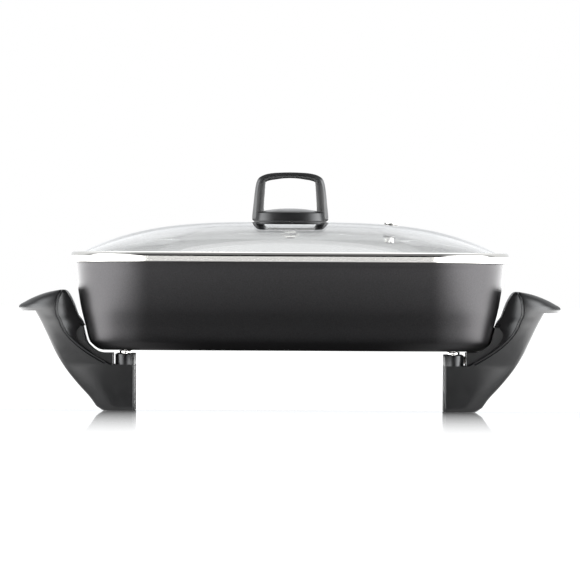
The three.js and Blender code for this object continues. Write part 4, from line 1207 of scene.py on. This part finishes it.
# %% Steam vent
VENT_BORE = 2.6
VENT_FOOT = -13.5
FLANGE_LOW, FLANGE_HIGH = 0.3, 1.5
VENT_EASE = 0.8
RING_BORE, RING_RADIUS = 4.9, 6.6
RING_LOW, RING_HIGH = -5.3, -3.95
RING_EASE = 0.4
eyelet = hoop("vent_eyelet_turned", [
    (VENT_BORE, VENT_FOOT), (VENT_RADIUS, VENT_FOOT), (VENT_RADIUS, FLANGE_LOW),
    (VENT_FLANGE, FLANGE_LOW), (VENT_FLANGE, FLANGE_HIGH), (VENT_BORE, FLANGE_HIGH),
], VENT_EASE, 4, STEEL)
place(on_vent_slope(eyelet), "lid", "steel", "vent_eyelet")
vent_ring = hoop("vent_ring_turned", [
    (RING_BORE, RING_LOW), (RING_RADIUS, RING_LOW), (RING_RADIUS, RING_HIGH), (RING_BORE, RING_HIGH),
], RING_EASE, 3, SILICONE)
place(on_vent_slope(vent_ring), "lid", "silicone", "vent_ring")

# %% [markdown]
# ## Legs and handles
# One moulding at each end is two feet, the arch between them and the carrying handle. Its level
# sections are rounded rectangles: the foot is a plain block, above it the inner face steps back and
# follows the pan, and the handle rolls out into a drooping lip.
#
# A list of shares goes up a zone of the moulding: each pair is a share of its height, and the share
# of the way outwards, or of the roll's width, at that height.

# %% Sizes of the mouldings
LEG_HALF_WIDTH = 100
LEG_WALL = 3
FOOT_INNER = 145.3
FOOT_OUTER = 173.4
NECK = 239.8
LIP_TIP = 254.9
CREST = 215.6
CREST_WIDTH = 3
CREASE_TOP = 211.3
SHELF = 166.1
FOOT_TOP = 43.5
WALL_FOOT = 80
LIP_UNDER = 93.8
CREST_Z = 113.7
CHEEK_EDGE = 2
WALL_FOOT_GAP = 1.6
CREST_ROUND = 4
ARCH_HALF, ARCH_TOP, ARCH_CORNER = 55, 62, 20
EDGE_EASE = 0.9
FOOT_FACE_START = 18
FOOT_REACH, NECK_REACH = 1.33, 1.58
FOOT_DEEP, NECK_DEEP = 10, 33
LIP_FACE_SHARE = 0.96
FOOT_SIDE_EDGE, NECK_SIDE_EDGE, LIP_SIDE_EDGE = 5, 6, 4
WEB_FOOT = 52
ROLL_DEPTH = 0.55
FACE_PLATE = 5
CREASE_RADIUS = 1.5
CREST_POWER = 4
EDGES_IN_FACE = 2.5
LEAST_ROUND = 0.3
STEEPEST_SINE = 0.97
FIRST_GUESS, GUESSES = 0.6, 12
ROLL_BOW = 0.6
EDGE_SHARES = [
    (0, 0), (0.03, 0.095), (0.13, 0.2), (0.272, 0.383), (0.433, 0.565),
    (0.594, 0.706), (0.755, 0.819), (0.9, 0.92), (1, 1),
]
TOP_SHARES = [
    (0, 0.928), (0.07, 0.985), (0.161, 1), (0.28, 0.97), (0.412, 0.858),
    (0.598, 0.681), (0.789, 0.446), (0.9, 0.26), (0.97, 0.09), (1, 0),
]
INNER_SHARES = [
    (0, 0), (0.175, 0.171), (0.288, 0.321), (0.427, 0.415), (0.706, 0.611), (0.932, 0.845), (1, 1),
]
WEB_SHARES = [(0, 0), (0.45, 0.12), (0.7, 0.35), (0.88, 0.6), (0.97, 0.85), (1, 1)]
ROLL_SHARES = [(0, 1), (0.43, 0.85), (0.57, 0.76), (0.8, 0.5), (1, 0.1)]
CREASE_SHARES = [(0, 0.02), (0.205, 0.319), (0.34, 0.489), (0.523, 0.684), (0.786, 0.894), (1, 1)]
edge_curve = spline(EDGE_SHARES, 6)
top_curve = spline(TOP_SHARES, 6)
inner_curve = spline(INNER_SHARES, 6)
roll_curve = spline(ROLL_SHARES, 6)
web_curve = spline(WEB_SHARES, 6)
crease_curve = spline(CREASE_SHARES, 6)
Section = namedtuple("Section", "inner_x roll_x roll_y face_x face_wide face_deep outer_x edge half_y")


def beside_pan(z):
    return PAN_HALF_LENGTH - read(wall_curve, z) + WALL_FOOT_GAP


def crease_x(z):
    return mix(SHELF, CREASE_TOP, read(crease_curve, (z - FOOT_TOP) / (WALL_FOOT - FOOT_TOP)))


# %% Sections of the mouldings
def leg_section(zone, z):
    """The level section of a zone of the moulding. From the pan outwards it has a roll, then the cheek's
    face, which is part of an oval, and an edge that turns into the outer side."""
    risen = (z - WALL_FOOT) / (CREST_Z - WALL_FOOT)
    in_lip = max(0, (z - LIP_UNDER) / (CREST_Z - LIP_UNDER))
    share = min(1, z / LIP_UNDER)
    if zone == "foot":
        inner_x, roll_x, roll_y = FOOT_INNER, CHEEK_EDGE, CHEEK_EDGE
    elif zone == "cheek":
        web = read(web_curve, (z - WEB_FOOT) / (WALL_FOOT - WEB_FOOT))
        inner_x = mix(crease_x(z), beside_pan(z), web)
        roll_x = crease_x(z) + CHEEK_EDGE - inner_x
        roll_y = roll_x * ROLL_DEPTH
    else:
        inner_x = mix(beside_pan(WALL_FOOT), CREST - CREST_WIDTH, read(inner_curve, risen))
        roll_x = (CREASE_TOP + CHEEK_EDGE - beside_pan(WALL_FOOT)) * read(roll_curve, risen)
        roll_y = roll_x * ROLL_DEPTH
    face_x = inner_x + roll_x
    if zone == "lip":
        outer_x, edge = mix(CREST, LIP_TIP, min(1, read(top_curve, in_lip))), LIP_SIDE_EDGE
        wide = (outer_x - face_x) / LIP_FACE_SHARE
        deep = NECK_DEEP * wide / ((NECK - face_x) * NECK_REACH)
    else:
        outer_x = mix(FOOT_OUTER, NECK, read(edge_curve, share))
        edge = mix(FOOT_SIDE_EDGE, NECK_SIDE_EDGE, share)
        if zone == "foot":
            face_x = mix(outer_x - FOOT_FACE_START, crease_x(FOOT_TOP) + CHEEK_EDGE, z / FOOT_TOP)
        wide = (outer_x - face_x) * mix(FOOT_REACH, NECK_REACH, share)
        deep = mix(FOOT_DEEP, NECK_DEEP, share)
    edge = min(edge, (outer_x - face_x) / EDGES_IN_FACE)
    half_y = LEG_HALF_WIDTH - CREST_ROUND * in_lip ** CREST_POWER
    return Section(inner_x, roll_x, roll_y, face_x, wide, deep, outer_x, edge, half_y)


def leg_ring(section, z, inset=0.0, steps=10):
    """The section's outline at a height, moved inwards by the inset. The angle at which face and
    edge meet comes from a guess that each turn of the loop betters."""
    inner_x, roll_x, roll_y, face_x, wide, deep, outer_x, edge, half_y = section
    inner_x, outer_x, half_y = inner_x + inset, outer_x - inset, half_y - inset
    roll_x, roll_y, edge = (max(radius - inset, LEAST_ROUND) for radius in (roll_x, roll_y, edge))
    meet = FIRST_GUESS
    for _ in range(GUESSES):
        sine = (outer_x - edge * (1 - math.sin(meet)) - face_x) / wide
        turn = math.asin(min(STEEPEST_SINE, sine))
        meet = math.atan(deep / wide * math.tan(turn))
    edge_y = half_y - deep * (1 - math.cos(turn)) - edge * math.cos(meet)
    half = []
    for i in range(steps + 1):
        angle = mix(math.pi / 2, meet, i / steps)
        half.append((outer_x - edge * (1 - math.sin(angle)), edge_y + edge * math.cos(angle)))
    for i in range(1, steps + 1):
        angle = turn * (1 - i / steps)
        half.append((face_x + wide * math.sin(angle), half_y - deep * (1 - math.cos(angle))))
    for i in range(1, steps + 1):
        along = i / steps
        bow = along * (ROLL_BOW + (1 - ROLL_BOW) * along)
        half.append((inner_x + roll_x * (1 - along), half_y - roll_y * bow))
    return [Vector((x, y, z)) for x, y in half + [(x, -y) for x, y in reversed(half)]]


def heights(low, high, count):
    return [mix(low, high, i / count) for i in range(count + 1)]


EASE_STEPS = [(1, 0), (0.3, 0.3), (0, 1)]
# Zone, lowest and highest level, and number of steps between them.
OUTSIDE_RUNS = (
    ("foot", EDGE_EASE, FOOT_TOP, 12), ("cheek", FOOT_TOP, WALL_FOOT, 18), ("wall", WALL_FOOT, LIP_UNDER, 8),
)
LIP_STEPS = 26


def eased_start(zone, z, direction=1):
    """Three rings that round the edge where a zone begins, or ends for direction -1."""
    rings = []
    for inset, up in EASE_STEPS:
        at = z + direction * up * EDGE_EASE
        rings.append(leg_ring(leg_section(zone, at), at, inset * EDGE_EASE))
    return rings[::direction]


def leg_outside():
    ease = EDGE_EASE
    rings = eased_start("foot", 0)
    for zone, low, high, count in OUTSIDE_RUNS:
        rings += [leg_ring(leg_section(zone, z), z) for z in heights(low, high, count)]
    for inset, up in EASE_STEPS:
        section = leg_section("lip", LIP_UNDER + up * ease)
        section = section._replace(outer_x=section.outer_x - inset * ease)
        rings.append(leg_ring(section, LIP_UNDER + up * ease))
    lip = heights(LIP_UNDER + ease, CREST_Z - ease, LIP_STEPS)[1:-1]
    rings += [leg_ring(leg_section("lip", z), z) for z in lip]
    return skin("leg_moulding", rings + eased_start("lip", CREST_Z, -1), PHENOLIC)


def leg_inside():
    """Hollow of the moulding, open towards the pan below the handle's inner wall."""
    rings = []
    runs = (
        ("foot", (LEG_WALL, FOOT_TOP / 2, FOOT_TOP + LEG_WALL)),
        ("cheek", heights(FOOT_TOP + LEG_WALL, WALL_FOOT + LEG_WALL, 8)),
        ("wall", (WALL_FOOT + LEG_WALL, LIP_UNDER)),
        ("lip", heights(LIP_UNDER + 1, CREST_Z - LEG_WALL - 1, 6)),
    )
    for zone, zs in runs:
        for z in zs:
            section = leg_section(zone, z)
            if zone == "lip":
                above = leg_section("lip", z + LEG_WALL).outer_x + LEG_WALL
                section = section._replace(outer_x=min(NECK, above))
            if zone == "cheek":
                open_x, half_y = beside_pan(z) - 3 * LEG_WALL, section.half_y - FACE_PLATE
                section = section._replace(inner_x=open_x, roll_x=1, roll_y=1, half_y=half_y)
            rings.append(leg_ring(section, z, LEG_WALL, 6))
    return skin("leg_hollow", rings, PHENOLIC)


# %% Making a moulding
ARCH_STEPS = 24
POST_TOP = 53.9
POST_RADIUS = 9.2
POST_EASE = 0.8
SCREW_SEAT = 34
SCREW_WAY = 6
# Middle and half the thickness of each rib inside the moulding, on one side.
RIBS = ((19, 1), (56.5, 1.5))


def arch_tunnel(margin):
    half, top, radius = ARCH_HALF + margin, ARCH_TOP + margin, ARCH_CORNER + margin
    outline = [(-half, -BEYOND), (half, -BEYOND)]
    for i in range(ARCH_STEPS + 1):
        angle = i / ARCH_STEPS * math.pi
        side = half - radius if angle <= math.pi / 2 else radius - half
        outline.append((side + radius * math.cos(angle), top - radius + radius * math.sin(angle)))
    return prism("tunnel", outline, FOOT_INNER - BEYOND, LIP_TIP + BEYOND, PHENOLIC, along="X")


def slab(low_y, high_y):
    """A wall across the moulding, from under its feet to its crest."""
    near, far = FOOT_INNER - BEYOND, LIP_TIP + BEYOND
    outline = [(near, -1), (far, -1), (far, CREST_Z), (near, CREST_Z)]
    return prism("slab", outline, low_y, high_y, PHENOLIC)


def crease_cutter(side):
    """A rod along the edge where the cheek meets the handle's inner wall."""
    line = []
    for z in heights(FOOT_TOP + 2, CREST_Z, 44):
        zone = "cheek" if z < WALL_FOOT else "wall" if z < LIP_UNDER else "lip"
        section = leg_section(zone, z)
        line.append((section.inner_x + section.roll_x + CREASE_RADIUS / 2, side * section.half_y, z))
    line.append((line[-1][0], line[-1][1], CREST_Z + BEYOND))
    return grow("crease", TUBE, wire("crease_line", line), {
        "Radius": CREASE_RADIUS * MM, "Sides": 12, "Material": PHENOLIC,
    })


def make_leg():
    hollow = combine(leg_inside(), arch_tunnel(LEG_WALL))
    for side in (-1, 1):
        for middle, half in RIBS:
            combine(hollow, slab(side * middle - half, side * middle + half))
    leg = combine(leg_outside(), hollow)
    combine(leg, arch_tunnel(0))
    for side in (-1, 1):
        combine(leg, crease_cutter(side))
        at = (POST_X, side * POST_Y)
        combine(leg, column(at, LEG_WALL / 2, POST_TOP, POST_RADIUS, PHENOLIC, POST_EASE), "UNION")
        combine(leg, column(at, -BEYOND, SCREW_SEAT, SCREW_WAY, PHENOLIC))
        combine(leg, column(at, SCREW_SEAT - BEYOND, POST_TOP + BEYOND, LEG_BORE, PHENOLIC))
    return leg


def mirrored(piece, name):
    """The same piece on the other side of the middle."""
    twin = bpy.data.objects.new(name, piece.data.copy())
    twin.data.transform(Matrix.Scale(-1, 4, (1, 0, 0)))
    twin.data.flip_normals()
    bpy.context.collection.objects.link(twin)
    return twin


right_leg = make_leg()
left_leg = mirrored(right_leg, "leg_moulding_left")
place(right_leg, "base", "phenolic", "leg_right")
place(left_leg, "base", "phenolic", "leg_left")


# %% [markdown]
# A tray closes each moulding towards the pan. It follows the corner of the pan at a steady gap,
# which is wider on the left.

# %% Covers
COVER_WALL = 2.4
COVER_LAP = 1.6
COVER_OVERSHOOT = 7
RIGHT_COVER_GAP, LEFT_COVER_GAP = 1.1, 3.1


def offset_line(line, distance):
    moved = []
    for i, (x, z) in enumerate(line):
        before, after = line[max(0, i - 1)], line[min(len(line) - 1, i + 1)]
        run, rise = after[0] - before[0], after[1] - before[1]
        length = math.hypot(run, rise)
        moved.append((x + rise / length * distance, z - run / length * distance))
    return moved


def make_cover(name, gap):
    top = WALL_FOOT - SEAT_GAP
    wall = [(PAN_HALF_LENGTH - inset, z) for z, inset in wall_curve if z < top - PAN_WALL]
    face = [(SHELF, PAN_BOTTOM - gap)]
    face += [p for p in offset_line(wall, gap) if p[0] > SHELF + PAN_WALL]
    face.append((PAN_HALF_LENGTH - read(wall_curve, top) + gap, top))
    behind = []
    for z in heights(FOOT_TOP, WALL_FOOT, 16)[1:]:
        if FOOT_TOP < z - COVER_LAP < top - COVER_LAP / 2:
            behind.append((crease_x(z) + COVER_LAP, z - COVER_LAP))
    outline = [(SHELF, FOOT_TOP - COVER_LAP), *behind, (CREASE_TOP + COVER_LAP, top), *reversed(face)]
    half = LEG_HALF_WIDTH - LEG_WALL - FACE_PLATE - SEAT_GAP
    cover = prism(name, outline, -half, half, PHENOLIC)
    inner_face = offset_line(face, COVER_WALL)[1:]
    near, far = SHELF + COVER_WALL, CREASE_TOP + COVER_OVERSHOOT
    low, high = FOOT_TOP + LEG_WALL / 2 - COVER_OVERSHOOT, top + COVER_OVERSHOOT
    inner = [
        (near, low), (far, low), (far, high), (inner_face[-1][0], high), *reversed(inner_face),
        (near, PAN_BOTTOM - gap - COVER_WALL),
    ]
    combine(cover, prism("inner", inner, COVER_WALL - half, half - COVER_WALL, PHENOLIC))
    return combine(cover, arch_tunnel(LEG_WALL + SEAT_GAP))


place(make_cover("cover_tray_right", RIGHT_COVER_GAP), "base", "phenolic", "leg_cover_right")
left_cover = make_cover("cover_tray_left", LEFT_COVER_GAP)
left_cover.data.transform(Matrix.Scale(-1, 4, (1, 0, 0)))
left_cover.data.flip_normals()
place(left_cover, "base", "phenolic", "leg_cover_left")

# %% Screws, washers and spacers of the legs
LEG_WASHER_TOP = SCREW_SEAT - SEAT_GAP
HEAD_TOP = LEG_WASHER_TOP - 1.3
SPACER_HEIGHT = 2.8
LEG_SCREW_TOP = PAN_BOTTOM + 6.5
corner_names = [x + y for x in ("left_", "right_") for y in ("front", "back")]


def set_at_legs(name, one, z, kind, most_turn=0.0, seed=1):
    """Copies of one small part at the four posts, in place of the solids of that kind."""
    places = [(x, y, z) for x, y in LEG_PLACES]
    parts = copies(name, one, places, STEEL, most_turn, seed)
    place(parts, "base", "steel", *[kind + corner for corner in corner_names])


leg_screw = make_screw("one_leg_screw", head=4.8, height=3.2, shank=2.5, reach=LEG_SCREW_TOP - HEAD_TOP)
leg_washer = make_washer("one_washer", outside=5.4, hole=LEG_BORE, low=-1, high=0)
spacer = make_washer("one_spacer", outside=5.35, hole=LEG_BORE, low=0, high=SPACER_HEIGHT)
set_at_legs("leg_screws", leg_screw, HEAD_TOP, "leg_screw_", most_turn=math.pi / 2, seed=4)
set_at_legs("leg_washers", leg_washer, LEG_WASHER_TOP, "leg_washer_")
set_at_legs("leg_spacers", spacer, POST_TOP + SEAT_GAP, "leg_spacer_")

# %% [markdown]
# ## The socket
# Under the right end of the pan hangs a folded steel shell, open towards the plug. A ceramic block
# in it holds two pins and, between them, the tube for the sensing rod.

# %% Shell
SOCKET_BACK, SOCKET_FRONT = 166.5, 208.5
SOCKET_LOW, SOCKET_HIGH = 40.8, 57
SOCKET_HALF = 25.2
SOCKET_WALL = 1.2
SOCKET_BEND = 2.2
SCREW_CUT = 3


def upright_ring(half_width, low, high, radius, x, steps=5):
    """Rounded rectangle across X."""
    flat = rounded_ring(half_width, (high - low) / 2, radius, 0, steps)
    return [Vector((x, p.x, p.y + (low + high) / 2)) for p in flat]


def make_shell():
    outer = (SOCKET_HALF, SOCKET_LOW, SOCKET_HIGH, SOCKET_BEND)
    wall = SOCKET_WALL
    inner = (SOCKET_HALF - wall, SOCKET_LOW + wall, SOCKET_HIGH - wall, SOCKET_BEND - wall)
    rings = [upright_ring(*outer, SOCKET_BACK), upright_ring(*outer, SOCKET_FRONT),
             upright_ring(*inner, SOCKET_FRONT), upright_ring(*inner, SOCKET_BACK)]
    shell = skin("socket_shell", rings, STEEL, round_trip=True)
    for at in GUARD_SCREW_PLACES:
        combine(shell, column(at, SOCKET_HIGH - SCREW_CUT, SOCKET_HIGH + BEYOND, GUARD_BORE, STEEL))
    return shell


place(make_shell(), "base", "steel", "probe_guard")


# %% Insulator, pins and sensor tube
def lying(piece, y, z):
    """Turns a piece made about the Z axis to lie along X."""
    for vertex in piece.data.vertices:
        x, across, along = vertex.co
        vertex.co = (along, x + y * MM, across + z * MM)
    return piece


INSULATOR_BACK, INSULATOR_FRONT = 175.5, 183.5
INSULATOR_CORNER = 1.4
INSULATOR_EASE = 0.4
PIN_RADIUS = 2.4
PIN_END = 203.5
PIN_EASE = 1.2
PIN_PLACES = {"terminal_pin_front": -LEAD_SPACING / 2, "terminal_pin_back": LEAD_SPACING / 2}
SLEEVE_RADIUS, SLEEVE_BORE, SLEEVE_END = 5, 3.6, 199.5
SLEEVE_EASE = 0.5


def make_insulator():
    margin = SOCKET_WALL + SEAT_GAP
    half, bottom, top = SOCKET_HALF - margin, SOCKET_LOW + margin, SOCKET_HIGH - margin
    low, high, ease = INSULATOR_BACK, INSULATOR_FRONT, INSULATOR_EASE
    block = skin("socket_insulator", [
        upright_ring(half - inset, bottom + inset, top - inset, INSULATOR_CORNER, x)
        for x, inset in ((low, ease), (low + ease, 0), (high - ease, 0), (high, ease))
    ], CERAMIC)
    holes = [(y, PIN_RADIUS) for y in PIN_PLACES.values()] + [(0, SLEEVE_RADIUS)]
    for y, radius in holes:
        hole = column((0, 0), low - BEYOND, high + BEYOND, radius + SEAT_GAP, CERAMIC)
        combine(block, lying(hole, y, LEAD_Z))
    return block


def make_pin(name):
    outline = [(0, SOCKET_BACK), (PIN_RADIUS, SOCKET_BACK), (PIN_RADIUS, PIN_END), (0, PIN_END)]
    return turned(name, eased(outline, PIN_EASE, 4, closed=False), STEEL)


place(make_insulator(), "base", "ceramic", "terminal_insulator")
for name, y in PIN_PLACES.items():
    place(lying(make_pin(name + "_turned"), y, LEAD_Z), "base", "steel", name)
tube_end = INSULATOR_BACK + SLEEVE_RADIUS
tube_outline = [
    (0, INSULATOR_BACK), (SLEEVE_RADIUS, INSULATOR_BACK), (SLEEVE_RADIUS, SLEEVE_END),
    (SLEEVE_BORE, SLEEVE_END), (SLEEVE_BORE, tube_end), (0, tube_end),
]
sleeve = turned("sensor_tube", eased(tube_outline, SLEEVE_EASE, 3, closed=False), STEEL)
place(lying(sleeve, 0, LEAD_Z), "base", "steel", "sensor_sleeve")

# %% Screws of the shell
GUARD_HEAD_TOP = SOCKET_HIGH - SOCKET_WALL - SEAT_GAP
GUARD_SCREW_TOP = PAN_BOTTOM + 6
guard_screw = make_screw(
    "one_guard_screw", head=3.4, height=1.8, shank=1.9, reach=GUARD_SCREW_TOP - GUARD_HEAD_TOP,
)
guard_places = [(x, y, GUARD_HEAD_TOP) for x, y in GUARD_SCREW_PLACES]
guard_screws = copies(
    "guard_screws", guard_screw, guard_places, STEEL, most_turn=math.pi / 2, seed=7,
)
place(guard_screws, "base", "steel", "guard_screw_front", "guard_screw_back")
